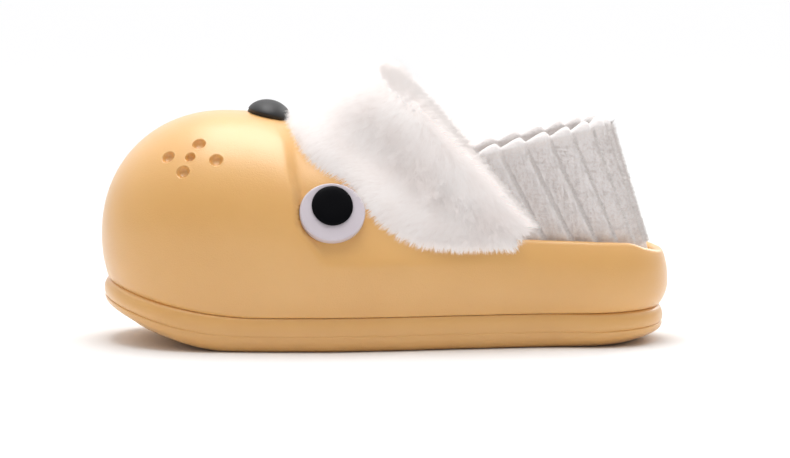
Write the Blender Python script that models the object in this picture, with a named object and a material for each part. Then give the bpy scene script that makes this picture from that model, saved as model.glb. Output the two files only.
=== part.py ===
"""Animal clog slipper: foam upper and sole, plush footbed, ribbed heel collar, fur cuff, nose and eyes.

Metres, +Z up. The toe points to -X, the heel to +X, and the outer side of the foot faces -Y.
The origin is on the floor under the middle of the shoe. It is a left shoe.
"""

import bmesh
import bpy
import numpy as np

# Driving sizes of the foam clog
LENGTH = 0.275
BALL_WIDTH = 0.111
HEEL_WIDTH = 0.077
DOME_HEIGHT = 0.1110
RIM_HEIGHT = 0.0492
WALL = 0.005
TOE_REACH = 0.0605
HEEL_REACH = 0.0405
CAP_ROUNDNESS = 2.1
THROAT_BACK = 0.0975
SIDE_SHIFT = 0.0019
TOE_RISE_SHARE = 0.282
FLOOR_RISE_SHARE = 0.238
STEP_DEPTH = 0.0035
STEP_WIDTH = 0.0040

# Driving sizes of the sole
SOLE_HEIGHT = 0.0163
TOE_LIFT = 0.0155
TOE_SPRING = 0.0170
HEEL_LIFT = 0.0014
HEEL_SPRING = 0.0030
ARCH_RELIEF = 0.0015
LIP = 0.0032
ROLL_MIDDLE = 0.0035
ROLL_ENDS = 0.0090
TREAD_DEPTH = 0.0018
TREAD_WIDTH = 0.0030
TREAD_PITCH = 0.0110
TREAD_MARGIN = 0.0140

# Plush pieces
INSOLE_THICKNESS = 0.006
INSOLE_CUP = 0.0025
COLLAR_HEIGHT = 0.1075
COLLAR_FRONT_DROP = 0.0150
COLLAR_WALL = 0.0042
COLLAR_LEAN = 0.0180
COLLAR_TOP_INSET = 0.0060
COLLAR_TOP_WIDTH = 0.0600
RIB_PITCH = 0.0108
RIB_RELIEF = 0.0030
CUFF_HEIGHT = 0.1325
CUFF_DEPTH = 0.0095
CUFF_CROWN_SHARE = 0.35
CUFF_LINING = 0.0030
CUFF_TUCK = 0.0120
LOCK_LENGTH = 0.0060
LOCK_RISE = 0.0016

# Face
EYE_WIDTH = 0.031
EYE_THICKNESS = 0.0042
EYE_BEVEL = 0.0009
EYE_FORWARD = 0.0245
EYE_HEIGHT = 0.0650
EYE_TILT = 0.13
EYE_SEAT = 0.0010
PUPIL_WIDTH = 0.0195
PUPIL_THICKNESS = 0.0016
PUPIL_RAISE = 0.0034
NOSE_LENGTH = 0.0215
NOSE_WIDTH = 0.0280
NOSE_RISE = 0.0075
NOSE_CLEAR = 0.0027
DIMPLE_WIDTH = 0.0065
DIMPLE_SMALL = 0.0050
DIMPLE_DEPTH = 0.0022

# Clearances between pieces
GAP = 0.0003
SOFT_GAP = 0.0006
CUFF_GAP = 0.0010
TUCK_GAP = 0.0018

# Mesh fineness
AROUND = 64
UP_ROWS = 11
CROSS = 4
CUFF_STEPS = 51
RIB_STEPS = 5
PUPIL_SIDES = 24
RIM_ANGLES = (0.8, 1.57, 2.34)
CUFF_RIM_ANGLES = (2.6, 1.94, 1.2, 0.54)
COLLAR_SPACING = 1.15
LOCK_COLUMNS = 6
CUFF_MIDDLE_COLUMN = 9

# The last, a row per section. Place is the share of the length from the toe. Ball says how far the ball's and
# the dome's sizes govern the row, the rest following the heel's. Widths are shares of that width, heights of
# that height.
LAST = (
    # place, ball, outer, inner, widest, ridge, under, roundness
    (0.00, 1.00, 0.486, 0.482, 0.457, 1.000, 2.90, 2.15),
    (0.22, 1.00, 0.488, 0.486, 0.448, 1.000, 2.70, 2.15),
    (0.28, 1.00, 0.497, 0.486, 0.435, 0.993, 2.50, 2.15),
    (0.33, 1.00, 0.503, 0.480, 0.418, 0.962, 2.30, 2.20),
    (0.38, 1.00, 0.503, 0.464, 0.400, 0.915, 2.20, 2.25),
    (0.50, 0.75, 0.499, 0.446, 0.420, 0.945, 2.20, 2.30),
    (0.64, 0.40, 0.474, 0.424, 0.460, 1.105, 2.20, 2.35),
    (0.80, 0.00, 0.486, 0.472, 0.605, 1.440, 2.10, 2.40),
    (0.90, 0.00, 0.497, 0.488, 0.594, 1.380, 2.10, 2.40),
    (1.00, 0.00, 0.497, 0.488, 0.594, 1.360, 2.10, 2.40),
)
LAST_COLUMNS = ("ball", "outer", "inner", "widest", "ridge", "under", "roundness")

# How far the middle line moves to the inner side, as shares of the ball width.
MIDDLE = (
    # place, shift
    (0.00, 0.040),
    (0.20, 0.016),
    (0.36, 0.002),
    (0.60, -0.010),
    (0.85, 0.000),
    (1.00, 0.000),
)

# The foam collar's edge seen from the side. Along goes from the throat, 0, to where the rim levels, 1, and on.
# Height is a share of the way from the rim up to the throat.
COLLAR_EDGE = (
    # along, height
    (0.00, 1.000),
    (0.20, 0.790),
    (0.45, 0.500),
    (0.70, 0.225),
    (0.88, 0.065),
    (1.00, 0.020),
    (1.30, 0.000),
    (1.50, -0.018),
    (1.58, -0.070),
    (1.66, -0.112),
)

# The edge of the muzzle seen from the side. Height is a share of the dome, place a share of the length.
MUZZLE_EDGE = (
    # height, place, depth
    (0.00, 0.430, 0.00),
    (0.36, 0.410, 0.00),
    (0.46, 0.392, 0.55),
    (0.55, 0.368, 1.00),
    (0.66, 0.364, 1.00),
    (0.75, 0.355, 1.00),
    (0.87, 0.345, 0.90),
    (0.96, 0.325, 0.60),
    (1.10, 0.310, 0.50),
)

# The sole's side, from the groove down. Reach is a share of the lip, roll a share of the inward roll.
SOLE_SIDE = (
    # drop, reach, roll
    (0.00, -0.10, 0.0),
    (0.07, 0.50, 0.0),
    (0.20, 0.90, 0.0),
    (0.38, 1.00, 0.02),
    (0.52, 0.90, 0.08),
    (0.56, 0.72, 0.10),
    (0.72, 0.60, 0.26),
    (0.87, 0.45, 0.52),
    (0.97, 0.30, 0.86),
    (1.00, 0.20, 1.15),
)

# The footbed's side, from its top down. Inwards is a share of its thickness.
INSOLE_SIDE = (
    # thickness, cup, inwards
    (1.00, 0.00, 0.75),
    (1.00, 1.00, 0.33),
    (1.00, 0.60, 0.07),
    (0.00, 0.00, 0.00),
)
INSOLE_MIDDLE_SHARE = 0.93

# How much wider than its own thickness the upper's wall measures level, at the sole.
WALL_SLANT_SHARE = 1.12

# The fur cuff, a row per fold station from its top centre, 0, to its end beside the heel, 1. Places are shares
# of the length from the toe, heights shares of the cuff's height, spreads shares of the ball's half width.
CUFF = (
    # station, hem place, hem spread, hem height, fold place, fold spread, fold height
    (0.00, 0.347, 0.00, 0.790, 0.507, 0.00, 1.000),
    (0.12, 0.358, 0.36, 0.765, 0.514, 0.15, 0.990),
    (0.30, 0.398, 0.65, 0.675, 0.533, 0.35, 0.940),
    (0.45, 0.446, 0.67, 0.612, 0.562, 0.50, 0.865),
    (0.60, 0.491, 0.80, 0.500, 0.596, 0.60, 0.780),
    (0.75, 0.550, 0.83, 0.385, 0.642, 0.66, 0.675),
    (0.88, 0.622, 0.74, 0.345, 0.690, 0.71, 0.550),
    (1.00, 0.712, 0.66, 0.350, 0.744, 0.74, 0.425),
)
CUFF_COLUMNS = ("hem_place", "hem_spread", "hem_height", "fold_place", "fold_spread", "fold_height")

# The share of the cuff's outside, from its hem to its fold, that lies over the foam.
EDGE_SHARE = 0.55

# The cuff's depth over the foam, from its hem, 0, to its fold, 1, as shares of the full depth.
CUFF_LOFT = ((0.00, 0.42), (0.15, 0.80), (0.35, 1.00), (0.60, 1.00), (0.85, 0.86), (1.00, 0.62))

# Dimples on each side of the muzzle: forward of the shoe's middle and up, as shares of the length and the dome.
DIMPLES = (
    # forward, up, small
    (0.3190, 0.876, False),
    (0.3725, 0.820, False),
    (0.3335, 0.824, True),
    (0.2880, 0.813, False),
    (0.3450, 0.763, False),
)

FOAM = ((0.760, 0.460, 0.150, 1), 0.50, 0.0)
FUR = ((0.860, 0.830, 0.810, 1), 0.95, 0.0)
PLUSH = ((0.800, 0.770, 0.750, 1), 0.95, 0.0)
EYE_WHITE = ((0.800, 0.770, 0.780, 1), 0.25, 0.0)
BLACK = ((0.010, 0.011, 0.013, 1), 0.30, 0.0)


def smooth_curve(table, column, at):
    """Value of one column of a table at any place, on a curve that passes each row without overshoot."""
    rows = np.array([[float(row[0]), float(row[column])] for row in table])
    x, y = rows.T
    steps = np.diff(x)
    slopes = np.diff(y) / steps
    tangent = np.zeros(len(x))
    same = slopes[1:] * slopes[:-1] > 0
    inner = 2 * slopes[1:] * slopes[:-1] / np.where(same, slopes[1:] + slopes[:-1], 1)
    tangent[1:-1] = np.where(same, inner, 0)
    tangent[0] = slopes[0]
    tangent[-1] = slopes[-1]
    at = np.clip(np.asarray(at, float), x[0], x[-1])
    i = np.clip(np.searchsorted(x, at, side="right") - 1, 0, len(x) - 2)
    t = (at - x[i]) / steps[i]
    start = (1 + 2 * t) * (1 - t) ** 2 * y[i] + t * (1 - t) ** 2 * steps[i] * tangent[i]
    end = t**2 * (3 - 2 * t) * y[i + 1] + t**2 * (t - 1) * steps[i] * tangent[i + 1]
    return start + end


def ease(value):
    """0 below 0, 1 above 1, and smooth between."""
    value = np.clip(value, 0, 1)
    return value * value * (3 - 2 * value)


def place_of(x):
    return x / LENGTH + 0.5


def x_of(place):
    return (place - 0.5) * LENGTH


def unit(v):
    return v / np.maximum(np.linalg.norm(v, axis=-1, keepdims=True), 1e-12)


# The last's own surface

TOE_CENTRE = -LENGTH / 2 + TOE_REACH
HEEL_CENTRE = LENGTH / 2 - HEEL_REACH
FIRST_AXIS = np.array([-0.10 * LENGTH, SIDE_SHIFT, 0.30 * DOME_HEIGHT])
THROAT_X = -LENGTH / 2 + THROAT_BACK
LEVEL_X = x_of(0.735)
CUFF_END_X = x_of(0.722)


def last_rows(x):
    """The last's section at x, in metres apart from the shares."""
    place = place_of(x)
    row = {name: smooth_curve(LAST, 1 + i, place) for i, name in enumerate(LAST_COLUMNS)}
    width = row["ball"] * BALL_WIDTH + (1 - row["ball"]) * HEEL_WIDTH
    height = row["ball"] * DOME_HEIGHT + (1 - row["ball"]) * RIM_HEIGHT
    row["outer"] = row["outer"] * width
    row["inner"] = row["inner"] * width
    row["widest"] = row["widest"] * height
    row["ridge"] = row["ridge"] * height
    row["middle"] = smooth_curve(MIDDLE, 1, place) * BALL_WIDTH + SIDE_SHIFT
    return row


def feather_height(x):
    """Height of the line where upper and sole meet."""
    toe = np.clip(1 - place_of(x) / TOE_RISE_SHARE, 0, None)
    heel = np.clip((place_of(x) - 0.78) / 0.22, 0, None)
    return SOLE_HEIGHT + TOE_LIFT * toe**1.75 + HEEL_LIFT * heel**2


def floor_height(x):
    """Height of the sole's underside."""
    toe = np.clip(1 - place_of(x) / FLOOR_RISE_SHARE, 0, None)
    heel = np.clip((place_of(x) - 0.85) / 0.15, 0, None)
    return TOE_SPRING * toe**1.8 + HEEL_SPRING * heel**2


def muzzle_step(x, z, width):
    """How far the face behind the muzzle is set in from the last."""
    share = z / DOME_HEIGHT
    edge = x_of(smooth_curve(MUZZLE_EDGE, 1, share))
    depth = smooth_curve(MUZZLE_EDGE, 2, share) * STEP_DEPTH
    spread = width * (1 + 1.5 * ease((0.62 - share) / 0.2))
    back = 1 - 0.7 * ease((x - x_of(0.50)) / (0.25 * LENGTH))
    return depth * ease((x - edge) / spread + 0.35) * back


def last_value(points, shrink=0.0, step_width=STEP_WIDTH):
    """Under 1 inside the last, over 1 outside. Shrink sets the surface in, as for the inside of the wall."""
    x, y, z = points[..., 0], points[..., 1], points[..., 2]
    row = last_rows(x)
    side = y - row["middle"]
    half = np.where(side < 0, row["outer"], row["inner"]) - muzzle_step(x, z, step_width) - shrink
    up = z - row["widest"]
    reach = np.where(up > 0, row["ridge"] - row["widest"] - shrink, 0)
    reach = np.where(up > 0, reach, row["under"] * (row["widest"] - feather_height(x)))
    power = np.where(up > 0, row["roundness"], 2.3)
    section = np.abs(side / half) ** power + np.abs(up / reach) ** power
    toe = np.clip((TOE_CENTRE - x) / (TOE_REACH - shrink), 0, None)
    heel = np.clip((x - HEEL_CENTRE) / (HEEL_REACH - shrink), 0, None)
    return section ** (CAP_ROUNDNESS / power) + toe**CAP_ROUNDNESS + heel**CAP_ROUNDNESS


def crossing(start, way, far, value):
    """Distance from start along way at which value passes 1, found by halving."""
    low = np.zeros(start.shape[:-1])
    high = np.full(start.shape[:-1], far)
    for _ in range(44):
        middle = (low + high) / 2
        out = value(start + way * middle[..., None]) > 1
        high = np.where(out, middle, high)
        low = np.where(out, low, middle)
    return (low + high) / 2


def on_last(way, shrink=0.0):
    """Points of the last's surface seen from the first axis point in the given directions."""
    way = unit(way)
    start = np.broadcast_to(FIRST_AXIS, way.shape)
    far = crossing(start, way, LENGTH, lambda p: last_value(p, shrink))
    return start + way * far[..., None]


def outward(points, step_width=3 * STEP_WIDTH):
    """Unit normals of the last, taken on a softened muzzle step so that the wall's inside stays smooth."""
    grad = []
    for axis in range(3):
        move = np.zeros(3)
        move[axis] = WALL / 25
        ahead = last_value(points + move, step_width=step_width)
        grad.append(ahead - last_value(points - move, step_width=step_width))
    return unit(np.stack(grad, axis=-1))


def inside_of(points, depth):
    """The points straight inwards from these, on the surface set in by depth."""
    way = -outward(points)
    start = points - way * 0.2 * depth
    far = crossing(start, way, 4 * depth, lambda p: 2 - last_value(p, depth, 3 * STEP_WIDTH))
    return start + way * far[..., None]


def side_at(x, z, sign):
    """Y of the last's surface at x and z on the side of sign, the middle line where the last is narrower."""
    low = np.zeros(np.shape(x))
    high = np.full(np.shape(x), BALL_WIDTH)
    middle_line = last_rows(x)["middle"]
    for _ in range(44):
        half = (low + high) / 2
        out = last_value(np.stack([x, middle_line + sign * half, z + 0 * x], axis=-1)) > 1
        high = np.where(out, half, high)
        low = np.where(out, low, half)
    return middle_line + sign * low


def along(points, shares):
    """Points at the given shares of a line's length."""
    steps = np.linalg.norm(np.diff(points, axis=0), axis=1)
    run = np.concatenate([[0], np.cumsum(steps)])
    return np.stack([np.interp(shares * run[-1], run, points[:, i]) for i in range(3)], axis=-1)


def half_loop(first, last, height, sign, shares):
    """One side of a loop round the last, from its front point to its back one, where height gives z for x."""
    turn = (1 - np.cos(np.linspace(0, np.pi, 400))) / 2
    x = first + (last - first) * turn
    z = height(x)
    y = side_at(x, z, sign)
    y[0] = last_rows(x[:1])["middle"][0]
    y[-1] = last_rows(x[-1:])["middle"][0]
    return along(np.stack([x, y, z], axis=-1), shares)


def end_of(height, direction):
    """X of the last's front or back end on the middle line, at the height that a line has there."""
    low, high = 0.0, LENGTH * 0.51
    for _ in range(44):
        x = direction * (low + high) / 2
        point = np.array([x, last_rows(np.array(x))["middle"], height(np.array(x))])
        out = last_value(point) > 1
        low, high = (low, (low + high) / 2) if out else ((low + high) / 2, high)
    return direction * low


def edge_height(x):
    """Height of the foam collar's edge at x."""
    throat = last_rows(np.array(THROAT_X))["ridge"]
    way = (x - THROAT_X) / (LEVEL_X - THROAT_X)
    return RIM_HEIGHT + (throat - RIM_HEIGHT) * smooth_curve(COLLAR_EDGE, 1, way)


def around(first, last, height, shares):
    """A whole loop: out along the outer side from the toe to the heel, and back along the inner side."""
    outer = half_loop(first, last, height, -1, shares)
    inner = half_loop(first, last, height, 1, shares)
    return np.concatenate([outer, inner[-2:0:-1]])


def feather_loop(count):
    shares = np.linspace(0, 1, count // 2 + 1)
    return around(end_of(feather_height, -1), end_of(feather_height, 1), feather_height, shares)


def collar_loop(count):
    shares = np.linspace(0, 1, count // 2 + 1) ** COLLAR_SPACING
    return around(THROAT_X, end_of(edge_height, 1), edge_height, shares)


def between(start, end, share):
    """Directions turned evenly from start to end."""
    start, end = unit(start), unit(end)
    angle = np.arccos(np.clip((start * end).sum(-1, keepdims=True), -1, 1))
    return (np.sin((1 - share) * angle) * start + np.sin(share * angle) * end) / np.sin(angle)


def upper_rows(count, rows):
    """The upper's outer surface as loops from the sole line up to the collar's edge."""
    foot = feather_loop(count)
    edge = collar_loop(count)
    loops = [foot + np.array([0, 0, GAP / 2])]
    for share in np.linspace(0, 1, rows)[1:-1]:
        loops.append(on_last(between(foot - FIRST_AXIS, edge - FIRST_AXIS, share)))
    loops.append(edge)
    return np.array(loops)


# Mesh building

def material(name, look):
    colour, roughness, metallic = look
    made = bpy.data.materials.new(name)
    made.use_nodes = True
    shader = made.node_tree.nodes["Principled BSDF"]
    shader.inputs["Base Color"].default_value = colour
    shader.inputs["Roughness"].default_value = roughness
    shader.inputs["Metallic"].default_value = metallic
    made.diffuse_color = colour
    return made


def make_object(name, points, faces, look):
    mesh = bpy.data.meshes.new(name)
    mesh.from_pydata([tuple(map(float, p)) for p in points], [], faces)
    work = bmesh.new()
    work.from_mesh(mesh)
    bmesh.ops.remove_doubles(work, verts=work.verts, dist=1e-6)
    bmesh.ops.recalc_face_normals(work, faces=work.faces)
    work.to_mesh(mesh)
    work.free()
    mesh.shade_smooth()
    mesh.set_sharp_from_angle(angle=0.7)
    mesh.materials.append(look)
    made = bpy.data.objects.new(name, mesh)
    bpy.context.scene.collection.objects.link(made)
    return made


def cut(target, cutter):
    cutter.hide_render = True
    cutter.display_type = "WIRE"
    modifier = target.modifiers.new("cut_" + cutter.name, "BOOLEAN")
    modifier.operation = "DIFFERENCE"
    modifier.solver = "EXACT"
    modifier.object = cutter


def ring_faces(rings, size, closed=True):
    """Faces between rings of points stored one after another, the last joined to the first where closed."""
    faces = []
    for r in range(rings if closed else rings - 1):
        low = r * size
        high = (r + 1) % rings * size
        for i in range(size):
            j = (i + 1) % size
            faces.append((low + i, low + j, high + j, high + i))
    return faces


def cross_fill(loop, height, first):
    """Points and faces that fill a loop with strips from the outer side to the inner side."""
    count = len(loop)
    points = []
    index = {}
    for j in range(1, count // 2):
        left, right = loop[j], loop[count - j]
        index[j, 0] = first + j
        index[j, CROSS] = first + count - j
        for c in range(1, CROSS):
            p = left + (right - left) * c / CROSS
            index[j, c] = ("new", len(points))
            points.append(np.array([p[0], p[1], height(p[0])]))
    faces = []
    for j in range(1, count // 2 - 1):
        for c in range(CROSS):
            faces.append((index[j, c], index[j + 1, c], index[j + 1, c + 1], index[j, c + 1]))
    for c in range(CROSS):
        faces.append((first, index[1, c], index[1, c + 1]))
        faces.append((first + count // 2, index[count // 2 - 1, c + 1], index[count // 2 - 1, c]))
    return points, faces


def filled_stack(loops, top_height, bottom_height):
    """A closed solid from a stack of loops, its top and bottom filled across."""
    size = len(loops[0])
    points = [p for loop in loops for p in loop]
    faces = ring_faces(len(loops), size, closed=False)
    for loop, height, first in (
        (loops[0], top_height, 0),
        (loops[-1], bottom_height, (len(loops) - 1) * size),
    ):
        start = len(points)
        more, fill = cross_fill(loop, height, first)
        points.extend(more)
        faces.extend(tuple(start + i[1] if isinstance(i, tuple) else i for i in face) for face in fill)
    return points, faces


def plan_normals(loop):
    """Horizontal outward directions of a loop that runs by -Y from the toe to the heel."""
    way = np.roll(loop, -1, axis=0) - np.roll(loop, 1, axis=0)
    out = np.stack([-way[:, 1], way[:, 0], np.zeros(len(loop))], axis=-1)
    out = unit(out)
    centre = loop.mean(axis=0)
    return out * np.sign(((loop - centre) * out).sum(axis=-1).sum())


# Foam pieces

def make_upper(look):
    rows = upper_rows(AROUND, UP_ROWS)
    inner = inside_of(rows, WALL)
    inner[0, :, 2] = feather_height(inner[0, :, 0]) + GAP / 2
    way = np.roll(rows[-1], -1, axis=0) - np.roll(rows[-1], 1, axis=0)
    crest = unit(np.cross(outward(rows[-1]), way))
    middle = (rows[-1] + inner[-1]) / 2
    half = (rows[-1] - inner[-1]) / 2
    rim = [middle + half * np.cos(a) + crest * WALL / 2 * np.sin(a) for a in RIM_ANGLES]
    loops = [*rows, *rim, *inner[::-1]]
    points = np.concatenate(loops)
    upper = make_object("upper", points, ring_faces(len(loops), AROUND), look)
    cut(upper, make_dimple_cutter())
    return upper


def make_dimple_cutter():
    """Ten balls, five on each side, that each cut a shallow round dimple into the muzzle."""
    work = bmesh.new()
    for forward, up, small in DIMPLES:
        width = DIMPLE_SMALL if small else DIMPLE_WIDTH
        radius = (width**2 / 4 + DIMPLE_DEPTH**2) / (2 * DIMPLE_DEPTH)
        x = np.array([-forward * LENGTH])
        z = np.array([up * DOME_HEIGHT])
        for sign in (-1, 1):
            place = np.stack([x, side_at(x, z, sign), z], axis=-1)
            centre = (place + outward(place) * (radius - DIMPLE_DEPTH))[0]
            made = bmesh.ops.create_icosphere(work, subdivisions=2, radius=radius)
            bmesh.ops.translate(work, verts=made["verts"], vec=tuple(centre))
    mesh = bpy.data.meshes.new("dimple_balls")
    work.to_mesh(mesh)
    work.free()
    made = bpy.data.objects.new("dimple_balls", mesh)
    bpy.context.scene.collection.objects.link(made)
    return made


def sole_loops(foot):
    """The loops of the sole's side, from the groove under the upper down to the floor."""
    out = plan_normals(foot)
    x = foot[:, 0]
    top = feather_height(x) - GAP / 2
    band = top - floor_height(x)
    ends = ease((np.abs(x) - 0.24 * LENGTH) / (0.24 * LENGTH))
    roll = ROLL_MIDDLE + (ROLL_ENDS - ROLL_MIDDLE) * ends
    loops = []
    for drop, reach, inward in SOLE_SIDE:
        loop = foot + out * (reach * LIP - inward * roll)[:, None]
        loop[:, 2] = top - drop * band
        loops.append(loop)
    return loops


def arch_height(x):
    """The underside inside its edge: the floor's height, lifted a little under the arch."""
    lift = ease((x + 0.02 * LENGTH) / (0.08 * LENGTH)) * ease((0.27 * LENGTH - x) / (0.08 * LENGTH))
    return floor_height(x) + ARCH_RELIEF * lift


def make_sole(look):
    foot = feather_loop(AROUND)
    points, faces = filled_stack(sole_loops(foot), lambda x: feather_height(x) - GAP / 2, arch_height)
    sole = make_object("sole", points, faces, look)
    cut(sole, make_tread_cutter())


def make_tread_cutter():
    """Bars across the forefoot and the heel, which cut the gaps between the tread's lugs."""
    work = bmesh.new()
    for first, last in ((-0.27 * LENGTH, 0.02 * LENGTH), (0.29 * LENGTH, 0.40 * LENGTH)):
        for i in range(int((last - first) / TREAD_PITCH) + 1):
            x = np.array([first + i * TREAD_PITCH])
            foot = feather_height(x)
            low = side_at(x, foot, -1)[0] + TREAD_MARGIN
            high = side_at(x, foot, 1)[0] - TREAD_MARGIN
            made = bmesh.ops.create_cube(work, size=1)
            bmesh.ops.scale(work, verts=made["verts"], vec=(TREAD_WIDTH, high - low, 2 * TREAD_DEPTH))
            bmesh.ops.translate(work, verts=made["verts"], vec=(x[0], (low + high) / 2, 0))
    mesh = bpy.data.meshes.new("tread_bars")
    work.to_mesh(mesh)
    work.free()
    made = bpy.data.objects.new("tread_bars", mesh)
    bpy.context.scene.collection.objects.link(made)
    return made


def make_insole(look):
    """The plush footbed, cupped at its edge, inside the upper's wall and on the sole."""
    foot = feather_loop(AROUND)
    out = plan_normals(foot)
    inset = WALL_SLANT_SHARE * WALL + SOFT_GAP
    loops = []
    for thick, cup, inwards in INSOLE_SIDE:
        loop = foot - out * (inset + inwards * INSOLE_THICKNESS)
        loop[:, 2] = feather_height(loop[:, 0]) + GAP / 2 + thick * INSOLE_THICKNESS + cup * INSOLE_CUP
        loops.append(loop)
    points, faces = filled_stack(
        loops,
        lambda x: feather_height(x) + GAP / 2 + INSOLE_MIDDLE_SHARE * INSOLE_THICKNESS,
        lambda x: feather_height(x) + GAP / 2,
    )
    make_object("insole", points, faces, look)


# Plush heel collar

COLLAR_LOW = SOLE_HEIGHT + HEEL_LIFT + INSOLE_THICKNESS + INSOLE_CUP + SOFT_GAP
COLLAR_FRONT = x_of(0.742)
COLLAR_TOP_FRONT = x_of(0.655)
COLLAR_TOP_BACK = LENGTH / 2 - WALL - COLLAR_TOP_INSET - COLLAR_LEAN

# The share of the collar's height inside the foam, and its hem's crest as a share of its thickness.
RIM_SHARE = 0.3
COLLAR_HEM_SHARE = 0.3


def rim_path(height, inset, count):
    """Points round the heel inside the last, from the outer front end by the back to the inner front end."""
    back = end_of(lambda x: height + 0 * x, 1)
    turn = np.sin(np.linspace(0, np.pi / 2, 300))
    x = COLLAR_FRONT + (back - COLLAR_FRONT) * turn
    sides = []
    for sign in (-1, 1):
        y = side_at(x, height + 0 * x, sign)
        y[-1] = last_rows(x[-1:])["middle"][0]
        line = np.stack([x, y, height + 0 * x], axis=-1)
        sides.append(along(line, np.linspace(0, 1, count // 2 + 1)))
    path = np.concatenate([sides[0], sides[1][-2::-1]])
    way = unit(np.gradient(path, axis=0))
    inward = np.stack([-way[:, 1], way[:, 0], np.zeros(len(path))], axis=-1)
    return path + inward * inset


def top_path(count):
    """The collar's top edge, a narrower loop leaning forward, lower towards its front ends."""
    half = COLLAR_TOP_WIDTH / 2
    turn = np.linspace(0, np.pi / 2, 120)
    straight = np.linspace(COLLAR_TOP_FRONT, COLLAR_TOP_BACK - half, 60)[:-1]
    x = np.concatenate([straight, COLLAR_TOP_BACK - half + half * np.sin(turn)])
    y = np.concatenate([np.full(len(straight), half), half * np.cos(turn)])
    away = (COLLAR_TOP_BACK - x) / (COLLAR_TOP_BACK - COLLAR_TOP_FRONT)
    z = COLLAR_HEIGHT - COLLAR_FRONT_DROP * away**1.2
    shares = np.linspace(0, 1, count // 2 + 1)
    outer = along(np.stack([x, SIDE_SHIFT - y, z], axis=-1), shares)
    inner = along(np.stack([x, SIDE_SHIFT + y, z], axis=-1), shares)
    return np.concatenate([outer, inner[-2::-1]])


def collar_ribs():
    """How many ribs stand round the collar, an even number."""
    path = rim_path(RIM_HEIGHT, WALL, 60)
    length = np.linalg.norm(np.diff(path, axis=0), axis=1).sum()
    return 2 * round(length / RIB_PITCH / 2)


def collar_surfaces(steps, levels):
    """The collar's ribbed outer face and its plain inner face, each an array of level by place."""
    ribs = collar_ribs()
    count = ribs * steps
    phase = np.arange(count + 1) / steps
    crest = np.sqrt(np.clip(1 - (2 * (phase % 1) - 1) ** 2, 0, 1))
    low = rim_path(COLLAR_LOW, WALL + SOFT_GAP, count)
    rim = rim_path(RIM_HEIGHT, WALL + SOFT_GAP, count)
    top = top_path(count)
    outer, inner = [], []
    for level in levels:
        if level < RIM_SHARE:
            line = low + (rim - low) * (level / RIM_SHARE)
        else:
            line = rim + (top - rim) * ((level - RIM_SHARE) / (1 - RIM_SHARE))
        way = unit(np.gradient(line, axis=0))
        inward = unit(np.stack([-way[:, 1], way[:, 0], np.zeros(len(line))], axis=-1))
        depth = RIB_RELIEF * (1 - crest)
        outer.append(line + inward * depth[:, None])
        inner.append(line + inward * (COLLAR_WALL + RIB_RELIEF))
    return np.array(outer), np.array(inner)


def make_heel_collar(look):
    outer, inner = collar_surfaces(RIB_STEPS, (0.0, RIM_SHARE, 0.65, 0.97))
    lift = COLLAR_HEM_SHARE * (COLLAR_WALL + RIB_RELIEF)
    hem = (outer[-1] + inner[-1]) / 2 + np.array([0, 0, lift])
    loops = [*outer, hem, inner[-1], inner[1], inner[0]]
    stations = outer.shape[1]
    points = np.stack(loops, axis=1).reshape(-1, 3)
    size = len(loops)
    faces = []
    for s in range(stations - 1):
        for k in range(size):
            m = (k + 1) % size
            faces.append((s * size + k, s * size + m, (s + 1) * size + m, (s + 1) * size + k))
    faces.append(tuple(range(size)))
    faces.append(tuple((stations - 1) * size + k for k in range(size)))
    make_object("heel_collar", points, faces, look)


# Fur cuff

def cuff_lines(count):
    """Hem and fold of the cuff, from its outer end over the instep to its inner end."""
    q = np.linspace(-1, 1, count)
    side = np.sign(q) * BALL_WIDTH / 2
    row = {name: smooth_curve(CUFF, 1 + i, np.abs(q)) for i, name in enumerate(CUFF_COLUMNS)}
    lines = []
    for name in ("hem", "fold"):
        x = x_of(row[name + "_place"])
        y = SIDE_SHIFT + side * row[name + "_spread"]
        lines.append(np.stack([x, y, row[name + "_height"] * CUFF_HEIGHT], axis=-1))
    return q, on_last(lines[0] - FIRST_AXIS), lines[1]


def edge_under(q):
    """The points of the foam's edge that the cuff turns over, even from the throat to the cuff's ends."""
    edge = np.zeros((len(q), 3))
    for sign in (-1, 1):
        line = half_loop(THROAT_X, end_of(edge_height, 1), edge_height, sign, np.linspace(0, 1, 400))
        run = line[: np.searchsorted(line[:, 0], CUFF_END_X)]
        here = (q < 0) if sign < 0 else (q >= 0)
        edge[here] = along(run, np.abs(q[here]))
    return edge


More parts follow.
